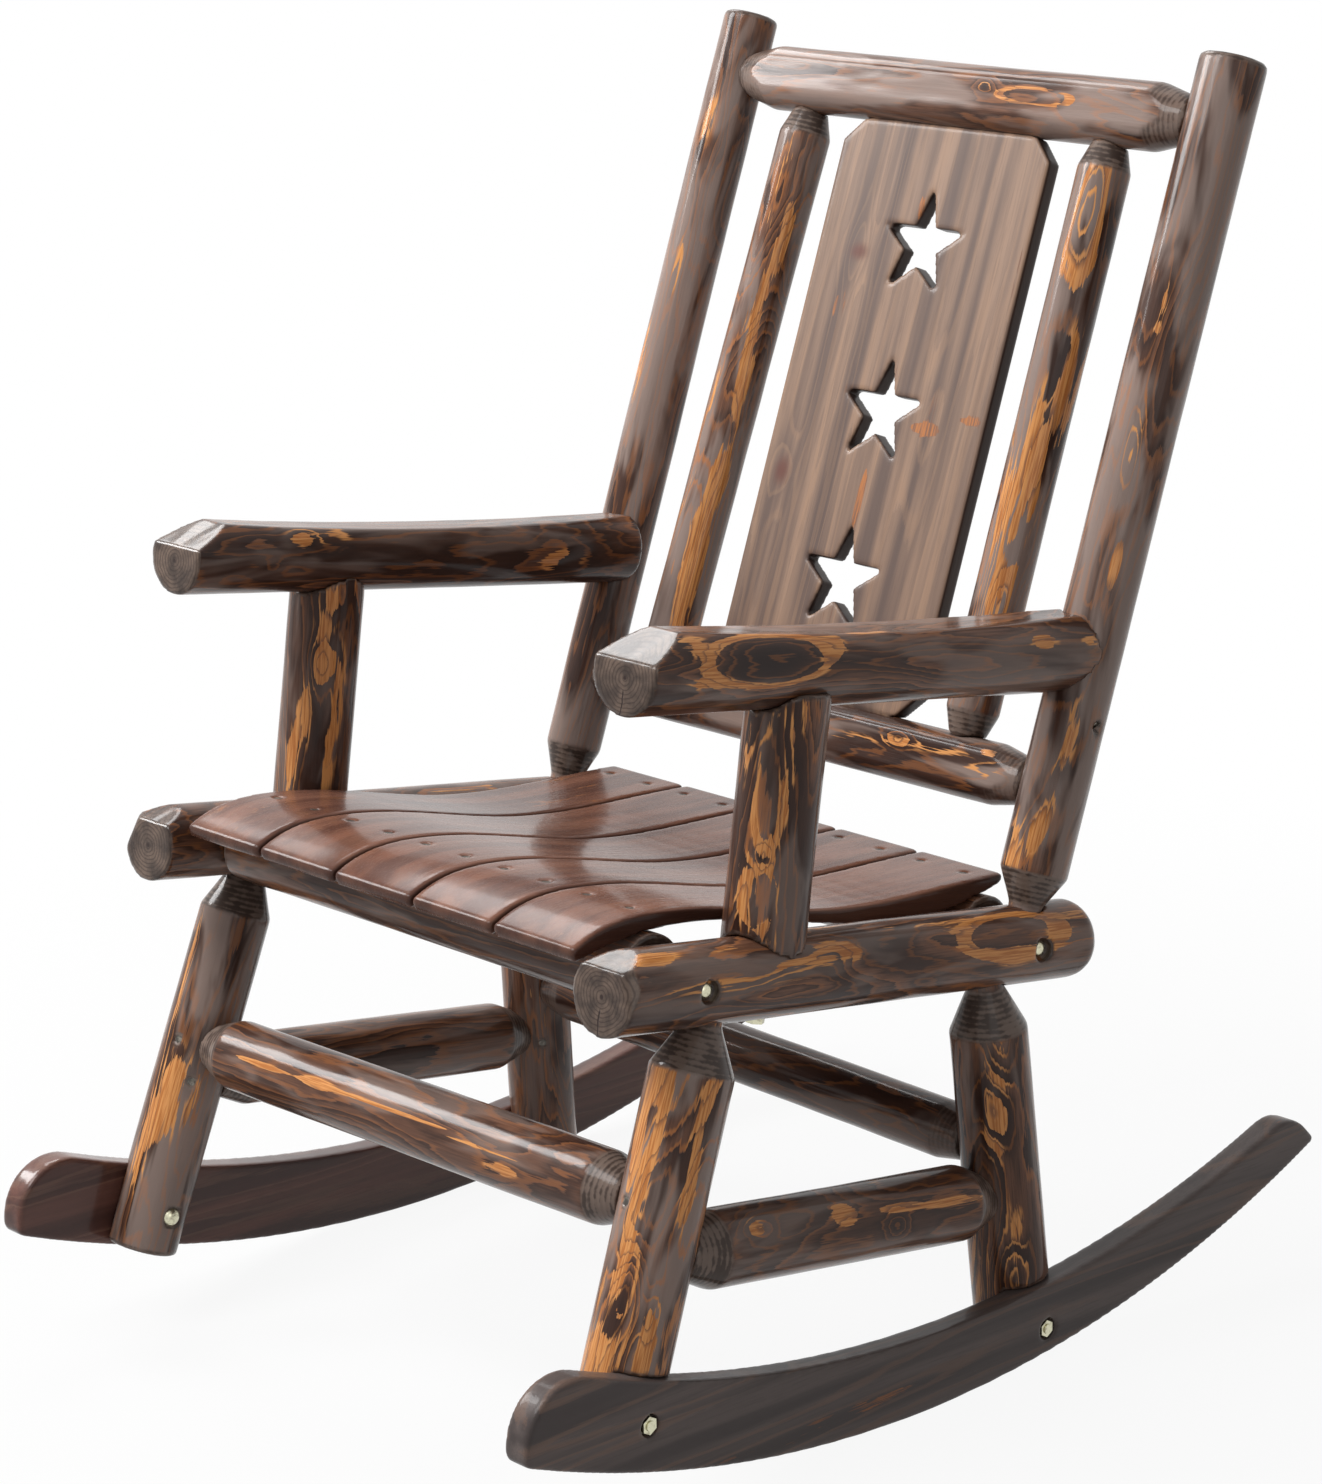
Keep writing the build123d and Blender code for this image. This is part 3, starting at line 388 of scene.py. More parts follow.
def makeLogMaterial(name, kind):
    look = logBase | logKinds[kind]
    material, tree, shader = startMaterial(name)
    place = readPlace(tree)
    masks = {label: readMask(tree, label) for label in ("cutEnd", "turned", "growth", "unburnt", "burn")}
    masks["plain"] = doMath(tree, "SUBTRACT", 1.0, masks["turned"])
    stray = ramp(tree, grainNoise(tree, place, **look["strayNoise"]), *look["strayFlame"])
    flame = doMath(tree, "ADD", stray, masks["unburnt"])
    grain = layeredGrain(tree, look, place, masks["growth"], flame)
    end = useGroup(tree, sawnEnd, Place=place, Crack=look["crack"], Crack_Turn=look["crackTurn"])
    turns = doMath(tree, "MULTIPLY", splitPlace(tree, place)[2], look["latheRings"])
    lathe = doMath(tree, "PINGPONG", turns, 0.5)
    mottle = grainNoise(tree, place, **look["mottle"])
    tone = scorchedTone(tree, look, place, masks, grain)
    tone = addFlames(tree, look, masks, grain, flame, tone)
    tone = mixColour(tree, masks["turned"], tone, turnedTone(tree, look, lathe, mottle))
    tone = mixColour(tree, masks["cutEnd"], tone, endTone(tree, look, end, mottle))
    feed(tree, shader.inputs["Base Color"], tone)
    coat = ramp(tree, masks["cutEnd"], 0.0, 1.0, look["coat"], look["endCoat"])
    feed(tree, shader.inputs["Coat Weight"], coat)
    # the brushed grain stands up a little, and a lathe leaves rings on the turned cones
    height = doMath(tree, "MULTIPLY", brushedHeight(tree, look, grain), masks["plain"])
    rings = doMath(tree, "MULTIPLY", lathe, masks["turned"])
    height = doMath(tree, "MULTIPLY_ADD", rings, look["latheHeight"], height)
    height = doMath(tree, "MULTIPLY_ADD", end["Crack"], look["crackHeight"], height)
    finishWood(tree, shader, look, grain, height)
    return material


# Wood of the planks: seat slats, splat and rockers

plankBase = {
    "knot": (0.030, 0.018, 0.014, 1),
    "across": 14.0,
    "along": 0.9,
    "rings": 9.0,
    "wobble": 0.3,
    "jag": 0.3,
    "wash": {"across": 44.0, "along": 1.6, "shift": 2.2, "detail": 2.5, "roughness": 0.55},
    "washBand": (0.35, 0.65),
    "lateWood": (0.2, 1.0, 0.0, 0.3),
    "darkStreak": (0.45, 0.8, 0.0, 0.45),
    "emberStreak": (0.40, 0.62),
    "patchShare": 0.9,
    "burnShare": 0.8,
    "paintedSideShade": 0.0,
    "smoothest": 0.33,
    "roughSwing": 0.15,
    "specular": 0.1,
    "coat": 0.3,
    "coatRoughness": 0.12,
    "layerHeight": 0.3,
    "streakHeight": 0.5,
    "bump": 0.25,
    "bumpDepth": 0.0008,
}
plankKinds = {
    "rocker": {
        "dark": (0.052, 0.041, 0.039, 1),
        "light": (0.110, 0.086, 0.079, 1),
        "line": (0.150, 0.092, 0.068, 1),
        "lineShare": 0.55,
    },
    "redRocker": {
        "dark": (0.046, 0.019, 0.015, 1),
        "light": (0.125, 0.052, 0.038, 1),
        "line": (0.150, 0.080, 0.055, 1),
        "lineShare": 0.4,
        "coat": 0.9,
    },
    "slat": {
        "dark": (0.085, 0.036, 0.025, 1),
        "light": (0.190, 0.084, 0.054, 1),
        "line": (0.160, 0.078, 0.050, 1),
        "lineShare": 0.3,
        "across": 16.0,
        "along": 1.0,
        "rings": 8.0,
        "lateWood": (0.2, 1.0, 0.0, 0.35),
        "paintedSideShade": 0.55,
        "smoothest": 0.19,
        "specular": 0.08,
        "coat": 0.32,
    },
    "splat": {
        "dark": (0.090, 0.059, 0.049, 1),
        "light": (0.250, 0.158, 0.108, 1),
        "line": (0.290, 0.170, 0.100, 1),
        "lineShare": 0.22,
        "knot": (0.100, 0.032, 0.022, 1),
        "across": 20.0,
        "along": 0.7,
        "paintedSideShade": 0.9,
        "smoothest": 0.35,
        "specular": 0.15,
    },
}


def makePlankMaterial(name, kind):
    look = plankBase | plankKinds[kind]
    material, tree, shader = startMaterial(name)
    place = readPlace(tree)
    masks = {label: readMask(tree, label) for label in ("growth", "unburnt", "burn", "sawnSide")}
    grain = layeredGrain(tree, look, place, masks["growth"], masks["unburnt"])
    wash = ramp(tree, grainNoise(tree, place, **look["wash"]), *look["washBand"])
    tone = mixColour(tree, wash, look["dark"], look["light"])
    tone = mixColour(tree, ramp(tree, grain["Shade"], *look["lateWood"]), tone, look["dark"])
    tone = mixColour(tree, doMath(tree, "MULTIPLY", grain["Line"], look["lineShare"]), tone, look["line"])
    tone = mixColour(tree, ramp(tree, grain["Streak"], *look["darkStreak"]), tone, look["dark"])
    streak = ramp(tree, grain["Streak"], *look["emberStreak"])
    glow = mixColour(tree, streak, logBase["ember"], logBase["brown"])
    tone = mixColour(tree, doMath(tree, "MULTIPLY", grain["Patch"], look["patchShare"]), tone, glow)
    burnt = doMath(tree, "MULTIPLY", masks["burn"], look["burnShare"], clamp=True)
    tone = mixColour(tree, burnt, tone, look["knot"])
    # the sawn sides of a plank are darkened towards char: painted shade in the gaps between the slats and
    # inside the splat's cut-outs
    side = doMath(tree, "MULTIPLY", masks["sawnSide"], look["paintedSideShade"])
    feed(tree, shader.inputs["Base Color"], mixColour(tree, side, tone, logBase["char"]))
    shader.inputs["Coat Weight"].default_value = look["coat"]
    finishWood(tree, shader, look, grain, brushedHeight(tree, look, grain))
    return material


# Metal of the fasteners

metalBase = {
    "patches": {"across": 240.0, "along": 240.0, "detail": 3.0, "roughness": 0.6},
    "wornBand": (0.45, 0.7),
    "roughSwing": 0.25,
    "bump": 0.2,
    "bumpDepth": 0.0003,
}
metalKinds = {
    "zinc": {"colour": (0.62, 0.60, 0.44, 1), "worn": (0.36, 0.33, 0.24, 1), "smoothest": 0.18},
    "screw": {"colour": (0.075, 0.068, 0.060, 1), "worn": (0.22, 0.20, 0.17, 1), "smoothest": 0.35},
}


def makeMetalMaterial(name, kind):
    look = metalBase | metalKinds[kind]
    material, tree, shader = startMaterial(name)
    place = addNode(tree, "ShaderNodeTexCoord").outputs["Object"]
    patch = grainNoise(tree, place, **look["patches"])
    tone = mixColour(tree, ramp(tree, patch, *look["wornBand"]), look["colour"], look["worn"])
    feed(tree, shader.inputs["Base Color"], tone)
    rough = doMath(tree, "MULTIPLY_ADD", patch, look["roughSwing"], look["smoothest"])
    feed(tree, shader.inputs["Roughness"], rough)
    shader.inputs["Metallic"].default_value = 1.0
    addBump(tree, shader, patch, look)
    return material


# Skins: a fine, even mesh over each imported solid, slightly wavy where the piece is a log

skinSetup = {
    "voxel": 0.0024,
    "smoothing": 3,
    "softness": 0.5,
    "waves": (                  # depth in metres, changes round and along a log, shift for each seed
        (0.0007, 1.1, 5.0, 7.3),
        (0.0002, 3.5, 26.0, 3.1),
    ),
    "calmCore": 0.02,           # metres from a log's axis within which the waves die out
    "glow": 1.05,               # strength of all the flames and loops together
    "placeStep": 1.37,          # metres along the wood from one seed to the next
    "growthStep": 17,           # growth layers from one seed to the next
    # the lean at which a face starts to count as an end, bevel, cone or plank's side, and the range
    # over which it becomes wholly that
    "endLean": (0.62, 0.12),
    "bevelLean": (0.34, 0.12),
    "coneLean": (0.12, 0.18),
    "sideLean": (-0.75, 0.25),
    "loopSharpness": 40,        # how thin the rim of a loop is
}


def readVectors(items, label, kind=float):
    values = np.empty(len(items) * 3, kind)
    items.foreach_get(label, values)
    return values.reshape(-1, 3)


def fade(values, start, width):
    return np.clip((values - start) / width, 0, 1)


def pieceFrame(mesh):
    # the piece's long axis becomes Z; the middle of its surface becomes the origin
    points = readVectors(mesh.vertices, "co")
    mesh.calc_loop_triangles()
    triangles = points[readVectors(mesh.loop_triangles, "vertices", int)]
    firstSides = triangles[:, 1] - triangles[:, 0]
    otherSides = triangles[:, 2] - triangles[:, 0]
    areas = np.linalg.norm(np.cross(firstSides, otherSides), axis=1)
    middles = triangles.mean(1)
    centre = (middles * areas[:, None]).sum(0) / areas.sum()
    spread = (middles - centre) * np.sqrt(areas)[:, None]
    along = np.linalg.eigh(spread.T @ spread)[1][:, 2]
    along = along * np.sign(along[np.argmax(np.abs(along))])
    # X or Y, whichever is well away from the long axis, gives the way across
    helper = np.array((1.0, 0.0, 0.0)) if abs(along[0]) < 0.7 else np.array((0.0, 1.0, 0.0))
    across = helper - along * helper.dot(along)
    across = across / np.linalg.norm(across)
    turn = Matrix((across, np.cross(along, across), along)).to_4x4()
    return turn @ Matrix.Translation(-Vector(centre))


def remeshed(mesh):
    rough = bpy.data.objects.new("rough", mesh)
    bpy.context.scene.collection.objects.link(rough)
    remesh = rough.modifiers.new("remesh", "REMESH")
    remesh.mode = "VOXEL"
    remesh.voxel_size = skinSetup["voxel"]
    soften = rough.modifiers.new("soften", "SMOOTH")
    soften.factor = skinSetup["softness"]
    soften.iterations = skinSetup["smoothing"]
    graph = bpy.context.evaluated_depsgraph_get()
    skin = bpy.data.meshes.new_from_object(rough.evaluated_get(graph))
    bpy.data.objects.remove(rough)
    return skin


def waveOf(points, seed):
    # slow bends and quick ripples push a log's surface in and out, never along its axis
    reach = np.hypot(points[:, 0], points[:, 1]) + 1e-6    # never zero, because it divides
    aroundX = points[:, 0] / reach
    aroundY = points[:, 1] / reach
    push = np.zeros(len(points))
    for depth, turning, lengthwise, shift in skinSetup["waves"]:
        for number, (x, y, z) in enumerate(zip(aroundX, aroundY, points[:, 2])):
            place = (x * turning, y * turning, z * lengthwise + seed * shift)
            push[number] += noise.noise(place) * depth
    push *= np.minimum(1.0, reach / skinSetup["calmCore"])
    return np.column_stack((aroundX * push, aroundY * push, np.zeros(len(points))))


def paintOf(points, spots, shape):
    # a soft spot fades from its middle, a full one keeps its strength up to its rim, and a loop
    # has strength only along its rim
    total = np.zeros(len(points))
    reach = np.hypot(points[:, 0], points[:, 1])
    turn = np.arctan2(points[:, 1], points[:, 0])
    for along, aim, halfLength, halfWidth, strength in spots:
        if abs(aim) < 1:
            aside = (points[:, 0] - aim) / halfWidth
        else:
            aside = np.angle(np.exp(1j * (turn - math.radians(aim)))) * reach / halfWidth
        away = np.sqrt(((points[:, 2] - along) / halfLength) ** 2 + aside ** 2)
        if shape == "loop":
            fall = (away - 1) ** 2 * skinSetup["loopSharpness"]
        else:
            fall = away ** (3 if shape == "full" else 2)
        total += strength * np.exp(-fall)
    return total


def grainLayers(points, normals, look):
    # what the wood's materials read from the skin besides the place. The mask for the flames is
    # named unburnt, because the renderer has a flame of its own
    lean = np.abs(normals[:, 2])
    planed = look.get("planed", False)
    ends = fade(lean, *skinSetup["bevelLean" if planed else "endLean"])
    cones = fade(lean, *skinSetup["coneLean"]) * (1 - ends) * (not planed)
    # on a plank the sawn sides are what faces away from its thinnest way
    thin = np.argmin(points.max(0) - points.min(0))
    flames = paintOf(points, look.get("flames", ()), "full")
    loops = paintOf(points, look.get("loops", ()), "loop")
    knots = paintOf(points, look.get("knots", ()), "soft")
    return {
        "cutEnd": ends,
        "turned": cones,
        "sawnSide": fade(-np.abs(normals[:, thin]), *skinSetup["sideLean"]),
        "growth": knots + look["seed"] * skinSetup["growthStep"],
        "unburnt": (flames + loops) * skinSetup["glow"] - look.get("calm", 0),
        "burn": paintOf(points, look.get("burns", ()), "full"),
    }


def growSkin(nodeName, look, isLog):
    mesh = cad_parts[nodeName].data.copy()
    mesh.materials.clear()
    toPiece = pieceFrame(mesh)
    mesh.transform(toPiece)
    skin = remeshed(mesh)
    points = readVectors(skin.vertices, "co")
    layers = grainLayers(points, readVectors(skin.vertex_normals, "vector", np.float32), look)
    if isLog:
        skin.vertices.foreach_set("co", (points + waveOf(points, look["seed"])).ravel())
    # a step along the wood for each piece keeps any two from having the same grain
    places = points + np.array((0, 0, look["seed"] * skinSetup["placeStep"]))
    placeLayer = skin.attributes.new("grainPlace", "FLOAT_VECTOR", "POINT")
    placeLayer.data.foreach_set("vector", places.ravel())
    for label, values in layers.items():
        skin.attributes.new(label, "FLOAT", "POINT").data.foreach_set("value", values)
    skin.transform(toPiece.inverted())
    skin.shade_smooth()
    piece = bpy.data.objects.new(nodeName + "_skin", skin)
    bpy.context.scene.collection.objects.link(piece)
    return piece


def dress(nodeName, look, isLog):
    piece = growSkin(nodeName, look, isLog)
    piece.data.materials.append(look["wood"])
    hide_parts(nodeName)
    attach(piece, "root")


print("dressing the logs")
plainLog = makeLogMaterial("scorched log", "plain")
# the log with more painted sheen is paler, for the posts, spindles, rails and front legs that stand in
# more light
sheenLog = makeLogMaterial("log with more painted sheen", "moreSheen")
crackedLog = makeLogMaterial("scorched log with a cracked end", "cracked")

# Flames and the rims of loops stay unburnt, burns are charred, and knots draw the growth layers
# together round themselves. Calm is taken off all over, so that fewer flames come by chance. A
# planed log has bevels at its ends in place of turned cones. Each spot is: metres along the piece
# from its middle, turn round it in degrees, half length and half width in metres, and strength.
# A turn of less than one degree is read as metres across the piece.
logs = {
    "left_arm": {
        "wood": crackedLog, "seed": 7, "planed": True, "calm": 0.3,
        "flames": [(-0.215, -48, 0.022, 0.009, 1.3), (-0.205, 4, 0.022, 0.005, 1.2),
                   (-0.068, -34, 0.018, 0.010, 1.3), (0.175, -20, 0.018, 0.009, 1.3),
                   (0.230, -18, 0.010, 0.006, 1.1), (-0.020, -55, 0.030, 0.004, 1.1)],
        "loops": [(-0.138, -24, 0.066, 0.020, 1.35)],
        "burns": [(-0.140, -20, 0.050, 0.014, 1.2)],
        "knots": [(-0.140, -22, 0.070, 0.024, 3.0), (0.05, -15, 0.10, 0.02, 3.0)],
    },
    "left_arm_post": {
        "wood": plainLog, "seed": 9, "calm": 0.1,
        "flames": [(-0.050, -78, 0.026, 0.009, 1.1), (0.020, -42, 0.045, 0.005, 0.9),
                   (0.065, -100, 0.035, 0.005, 0.9), (0.085, -30, 0.020, 0.006, 0.9),
                   (-0.085, -40, 0.012, 0.008, 0.8)],
        "loops": [(0.036, -56, 0.052, 0.014, 0.8), (-0.054, -54, 0.024, 0.013, 0.9)],
        "burns": [(-0.020, -58, 0.007, 0.005, 1.4)],
        "knots": [(-0.020, -58, 0.011, 0.009, 2.0), (-0.010, -58, 0.085, 0.020, 4.0)],
    },
    "left_seat_rail": {
        "wood": crackedLog, "seed": 11, "planed": True, "calm": 0.25,
        "flames": [(-0.235, -62, 0.026, 0.009, 1.1), (-0.16, -12, 0.070, 0.005, 0.9),
                   (-0.09, -26, 0.035, 0.007, 1.0), (-0.045, -38, 0.030, 0.009, 1.1),
                   (0.060, -66, 0.050, 0.003, 1.1), (0.215, -30, 0.014, 0.010, 1.2),
                   (0.165, 4, 0.024, 0.006, 1.3), (-0.05, 0, 0.05, 0.004, 0.8)],
        "loops": [(0.160, -32, 0.060, 0.018, 1.15)],
        "knots": [(0.0, -40, 0.045, 0.012, 2.0)],
    },
    "right_arm": {
        "wood": plainLog, "seed": 8, "planed": True, "calm": 0.2,
        "flames": [(-0.135, -40, 0.026, 0.011, 1.0), (-0.100, -40, 0.016, 0.008, 0.9),
                   (-0.190, 0, 0.018, 0.010, 0.8), (0.150, 10, 0.030, 0.010, 0.7)],
        "burns": [(-0.140, -38, 0.014, 0.007, 1.2)],
        "knots": [(-0.140, -40, 0.016, 0.010, 1.5), (-0.175, 4, 0.012, 0.008, 1.5)],
    },
    "right_arm_post": {
        "wood": plainLog, "seed": 10,
        "flames": [(0.055, -36, 0.040, 0.010, 1.1), (0.010, -8, 0.040, 0.007, 1.0),
                   (-0.014, -60, 0.030, 0.009, 1.0), (-0.045, -20, 0.035, 0.010, 1.0),
                   (-0.055, -80, 0.030, 0.008, 0.9)],
        "knots": [(0.030, -40, 0.020, 0.012, 2.5)],
    },
    "right_seat_rail": {"wood": plainLog, "seed": 12, "planed": True, "calm": 0.2},
    "left_front_leg": {
        "wood": sheenLog, "seed": 15,
        "flames": [(0.125, -90, 0.020, 0.011, 1.2), (0.080, -104, 0.045, 0.005, 1.1),
                   (0.075, -74, 0.045, 0.004, 1.0), (0.120, -14, 0.014, 0.007, 1.1),
                   (0.085, -20, 0.030, 0.006, 1.0), (0.045, -16, 0.030, 0.006, 1.0),
                   (0.015, -80, 0.060, 0.007, 1.0), (-0.084, -82, 0.018, 0.010, 1.0),
                   (-0.070, -24, 0.030, 0.007, 0.9)],
        "loops": [(-0.030, -66, 0.026, 0.006, 1.0)],
        "knots": [(-0.035, -64, 0.045, 0.012, 3.0), (-0.050, -30, 0.02, 0.010, 2.5)],
    },
    "right_front_leg": {
        "wood": sheenLog, "seed": 16, "calm": 0.1,
        "flames": [(-0.030, -66, 0.045, 0.018, 1.3), (-0.080, 0, 0.040, 0.010, 1.0),
                   (0.070, -97, 0.070, 0.003, 1.3)],
        "burns": [(0.010, -40, 0.030, 0.012, 0.6)],
    },
    "left_rear_leg": {
        "wood": plainLog, "seed": 17,
        "flames": [(0.085, -40, 0.040, 0.012, 0.62), (0.040, -50, 0.030, 0.010, 0.62),
                   (-0.060, -30, 0.050, 0.012, 0.6)],
        "knots": [(0.060, -45, 0.030, 0.020, 3.0), (-0.085, -35, 0.035, 0.018, 4.0)],
    },
    "right_rear_leg": {"wood": plainLog, "seed": 18, "calm": 0.1},
    "front_stretcher": {
        "wood": plainLog, "seed": 19, "calm": 0.55,
        "flames": [(-0.165, 152, 0.040, 0.003, 1.5), (-0.090, 150, 0.025, 0.005, 1.5),
                   (0.000, 150, 0.100, 0.002, 1.6), (0.110, 158, 0.060, 0.002, 1.5),
                   (0.135, 180, 0.025, 0.006, 1.4)],
    },
    "rear_stretcher": {"wood": plainLog, "seed": 20, "calm": 0.2},
    "left_stretcher": {
        "wood": plainLog, "seed": 21, "calm": 0.45,
        "flames": [(-0.115, -44, 0.014, 0.012, 1.0), (-0.017, -36, 0.018, 0.012, 1.2),
                   (0.045, -32, 0.030, 0.005, 1.2), (0.110, -26, 0.045, 0.004, 1.1),
                   (0.037, 0, 0.014, 0.008, 0.7)],
        # the long burn is a dark strip down the top of the stretcher, which darkens most of it
        "burns": [(0.030, -10, 0.120, 0.014, 0.7)],
        "knots": [(-0.110, -40, 0.020, 0.012, 3.0), (0.040, -4, 0.014, 0.010, 3.0)],
    },
    "right_stretcher": {"wood": plainLog, "seed": 22, "calm": 0.2},
    "front_cross_rail": {"wood": plainLog, "seed": 13, "calm": 0.2},
    "rear_cross_rail": {"wood": plainLog, "seed": 14, "calm": 0.2},
    "left_back_post": {
        "wood": sheenLog, "seed": 1, "calm": 0.15,
        "flames": [(0.147, -67, 0.016, 0.003, 1.3), (0.124, -68, 0.006, 0.003, 1.3),
                   (0.027, -60, 0.040, 0.008, 0.7), (-0.070, -42, 0.020, 0.005, 1.1),
                   (-0.206, -44, 0.030, 0.008, 1.0), (-0.250, -50, 0.040, 0.006, 0.9),
                   (-0.313, -100, 0.035, 0.008, 1.0), (-0.292, -62, 0.020, 0.006, 0.8)],
        "knots": [(0.027, -62, 0.045, 0.010, 3.0), (-0.130, -75, 0.018, 0.010, 2.5)],
    },
    "right_back_post": {
        "wood": sheenLog, "seed": 2, "calm": 0.2,
        "flames": [(0.028, -120, 0.040, 0.008, 1.1), (0.118, -72, 0.030, 0.005, 0.9),
                   (0.255, -84, 0.030, 0.007, 0.8)],
    },
    "left_back_spindle": {
        "wood": sheenLog, "seed": 3,
        "flames": [(0.052, -24, 0.050, 0.008, 1.3), (0.190, -58, 0.060, 0.012, 0.5),
                   (-0.002, -62, 0.050, 0.006, 1.1), (-0.060, -84, 0.045, 0.008, 1.1),
                   (-0.050, -30, 0.030, 0.006, 0.9), (-0.130, -60, 0.040, 0.010, 1.0)],
        "knots": [(0.230, -58, 0.100, 0.018, 6.0), (-0.150, -50, 0.03, 0.012, 3.0)],
    },
    "right_back_spindle": {
        "wood": sheenLog, "seed": 4,
        "flames": [(0.139, -32, 0.030, 0.005, 1.1), (0.060, -46, 0.045, 0.004, 1.1),
                   (0.006, -36, 0.030, 0.006, 1.0), (-0.084, -32, 0.030, 0.008, 1.0),
                   (-0.168, -46, 0.050, 0.012, 1.2)],
        "knots": [(-0.060, -34, 0.050, 0.010, 3.0)],
    },
    "crest_rail": {
        "wood": sheenLog, "seed": 5, "calm": 0.35,
        "flames": [(0.043, 142, 0.010, 0.006, 0.9), (0.138, 154, 0.005, 0.005, 1.2)],
        "loops": [(0.100, 153, 0.040, 0.007, 1.35)],
        "burns": [(0.043, 142, 0.005, 0.004, 1.0)],
        "knots": [(0.043, 142, 0.012, 0.008, 2.5), (0.095, 153, 0.040, 0.008, 1.5)],
    },
    "lower_back_rail": {
        "wood": sheenLog, "seed": 6, "calm": 0.15,
        "flames": [(0.100, 150, 0.050, 0.003, 0.9), (0.174, 142, 0.050, 0.003, 1.0),
                   (0.215, 164, 0.020, 0.004, 0.9), (0.045, 168, 0.050, 0.003, 0.9)],
        "burns": [(0.120, 140, 0.010, 0.006, 1.0)],
        "knots": [(0.120, 142, 0.014, 0.008, 2.5)],
    },
}
for logName, log in logs.items():
    dress(logName, log, True)

print("dressing the planks")
rockerWood = makePlankMaterial("rocker plank", "rocker")
redRockerWood = makePlankMaterial("red rocker plank", "redRocker")
slatWood = makePlankMaterial("seat plank", "slat")
splatWood = makePlankMaterial("splat plank", "splat")
# the spots on the splat give metres across it in place of a turn
planks = {
    "left_rocker": {"wood": rockerWood, "slot": "dark_plank", "seed": 31},
    "right_rocker": {"wood": redRockerWood, "slot": "dark_plank", "seed": 32},
    "seat_slat_1": {"wood": slatWood, "slot": "seat_plank", "seed": 33},
    "seat_slat_2": {"wood": slatWood, "slot": "seat_plank", "seed": 34},
    "seat_slat_3": {"wood": slatWood, "slot": "seat_plank", "seed": 35},
    "seat_slat_4": {"wood": slatWood, "slot": "seat_plank", "seed": 36},
    "seat_slat_5": {"wood": slatWood, "slot": "seat_plank", "seed": 37},
    "back_splat": {
        "wood": splatWood, "slot": "back_plank", "seed": 40,
        "flames": [(-0.008, 0.056, 0.005, 0.022, 1.0), (0.005, 0.102, 0.003, 0.014, 1.0),
                   (-0.076, 0.001, 0.024, 0.003, 1.0), (0.180, -0.010, 0.012, 0.003, 1.0),
                   (0.084, -0.081, 0.012, 0.002, 0.9)],
        "burns": [(0.134, -0.068, 0.007, 0.010, 1.1), (-0.065, -0.096, 0.012, 0.008, 1.1)],
        "knots": [(0.134, -0.068, 0.030, 0.018, 2.0), (-0.065, -0.096, 0.030, 0.016, 2.0),
                  (-0.008, 0.058, 0.060, 0.014, 1.5)],
    },
}
for plankName, plank in planks.items():
    dress(plankName, plank, False)

print("finishing the fasteners")
zinc = makeMetalMaterial("zinc plate", "zinc")
screwSteel = makeMetalMaterial("screw steel", "screw")
dowelWood = makePlankMaterial("dowel wood", "splat")
fastenerFinish = {
    "rail_bolts": zinc,
    "rocker_bolts": zinc,
    "rocker_washers": zinc,
    "rocker_nuts": zinc,
    "arm_post_bolts": zinc,
    "slat_screws": screwSteel,
    "stretcher_screws": screwSteel,
    "arm_toe_screws": screwSteel,
    "arm_dowels": dowelWood,
}
for nodeName, finish in fastenerFinish.items():
    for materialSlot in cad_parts[nodeName].material_slots:
        materialSlot.material = finish


# Floor and light

studio = {
    "floor": (0.50, 0.50, 0.50, 1),
    "floorReach": 8.0,
    "floorRoughness": 0.9,
    "floorSpecular": 0.1,
    "floorGlow": 0.92,          # how nearly white the eye sees the floor under the chair
    "floorFade": (0.55, 1.7),   # metres from the chair's middle over which it turns plain white
    "skyStrength": 0.30,
    "aimHeight": 0.45,
    "lamps": {
        "key": {"power": 140.0, "place": (-0.9, -2.3, 3.6), "size": 1.9},
        "fill": {"power": 14.0, "place": (3.2, -1.6, 2.0), "size": 2.0},
        "rim": {"power": 105.0, "place": (-2.8, -1.3, 2.6), "size": 1.2},
        "back": {"power": 55.0, "place": (-2.7, 1.1, 3.3), "size": 1.5},
    },
}


def seenRays(tree):
    # 1 for what the camera sees directly, in a reflection or through glass
    rays = addNode(tree, "ShaderNodeLightPath").outputs
    seen = doMath(tree, "MAXIMUM", rays["Is Camera Ray"], rays["Is Glossy Ray"])
    return doMath(tree, "MAXIMUM", seen, rays["Is Transmission Ray"])


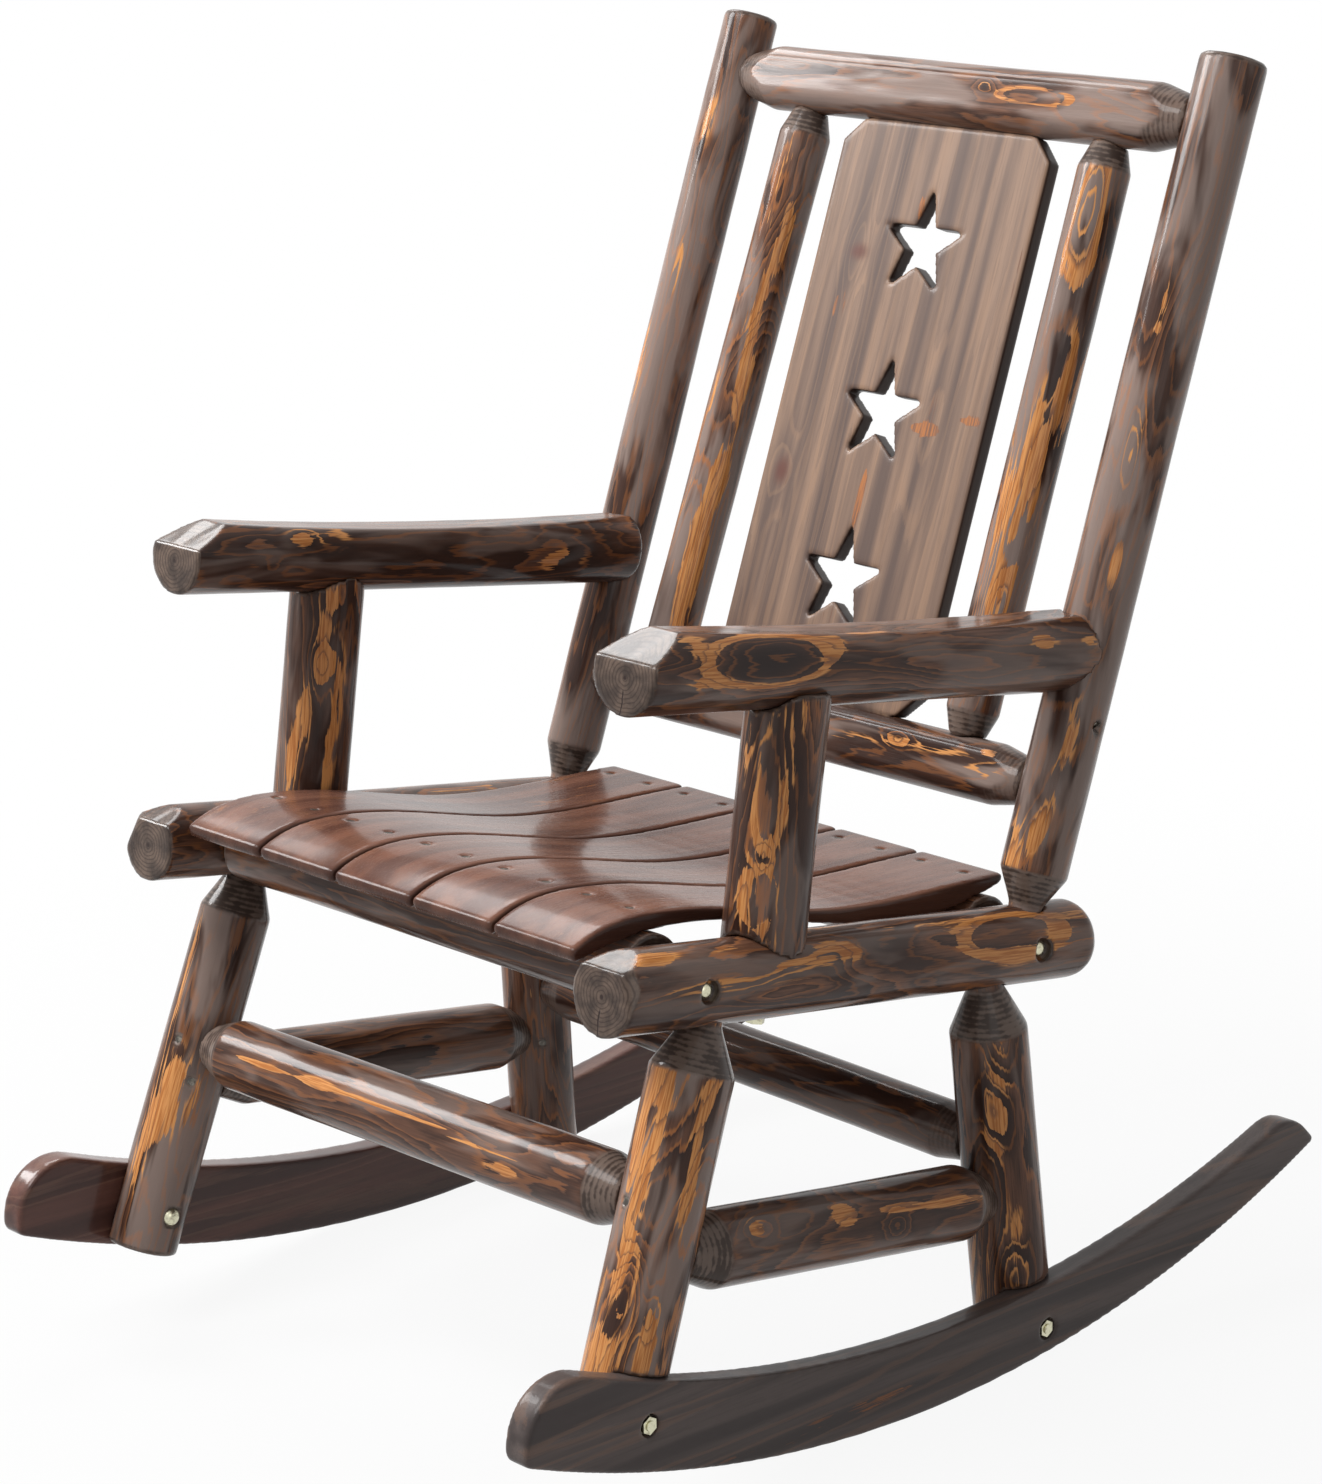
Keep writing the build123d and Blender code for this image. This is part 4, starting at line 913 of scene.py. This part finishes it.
def makeFloor():
    mesh = bpy.data.meshes.new("floor")
    reach = studio["floorReach"]
    corners = [(-reach, -reach, 0), (reach, -reach, 0), (reach, reach, 0), (-reach, reach, 0)]
    mesh.from_pydata(corners, [], [(0, 1, 2, 3)])
    floor = bpy.data.objects.new("floor", mesh)
    bpy.context.scene.collection.objects.link(floor)
    material, tree, shader = startMaterial("floor")
    shader.inputs["Base Color"].default_value = studio["floor"]
    shader.inputs["Roughness"].default_value = studio["floorRoughness"]
    shader.inputs["Specular IOR Level"].default_value = studio["floorSpecular"]
    # to the eye the floor is nearly white under the chair and fades to plain white around it
    white = addNode(tree, "ShaderNodeEmission")
    away = addNode(tree, "ShaderNodeVectorMath", operation="LENGTH")
    feed(tree, away.inputs[0], addNode(tree, "ShaderNodeNewGeometry").outputs["Position"])
    glow = ramp(tree, away.outputs["Value"], *studio["floorFade"], studio["floorGlow"], 1.0)
    mix = addNode(tree, "ShaderNodeMixShader")
    feed(tree, mix.inputs[0], doMath(tree, "MULTIPLY", glow, seenRays(tree)))
    feed(tree, mix.inputs[1], shader.outputs[0])
    feed(tree, mix.inputs[2], white.outputs[0])
    feed(tree, tree.nodes["Material Output"].inputs["Surface"], mix.outputs[0])
    mesh.materials.append(material)


def makeSky():
    world = bpy.data.worlds.new("studio")
    bpy.context.scene.world = world
    world.use_nodes = True
    tree = world.node_tree
    background = tree.nodes["Background"]
    background.inputs["Color"].default_value = (1, 1, 1, 1)
    strength = ramp(tree, seenRays(tree), 0.0, 1.0, studio["skyStrength"], 1.0)
    feed(tree, background.inputs["Strength"], strength)


def makeLamp(name, power, place, size):
    data = bpy.data.lights.new(name, "AREA")
    data.energy = power
    data.size = size
    lamp = bpy.data.objects.new(name, data)
    lamp.location = place
    aim = Vector((0, 0, studio["aimHeight"])) - Vector(place)
    lamp.rotation_euler = aim.to_track_quat("-Z", "Y").to_euler()
    bpy.context.scene.collection.objects.link(lamp)


print("setting the studio")
makeFloor()
makeSky()
for lampName, lamp in studio["lamps"].items():
    makeLamp(lampName, **lamp)
makeCamera()
bpy.context.scene.view_settings.view_transform = "Standard"
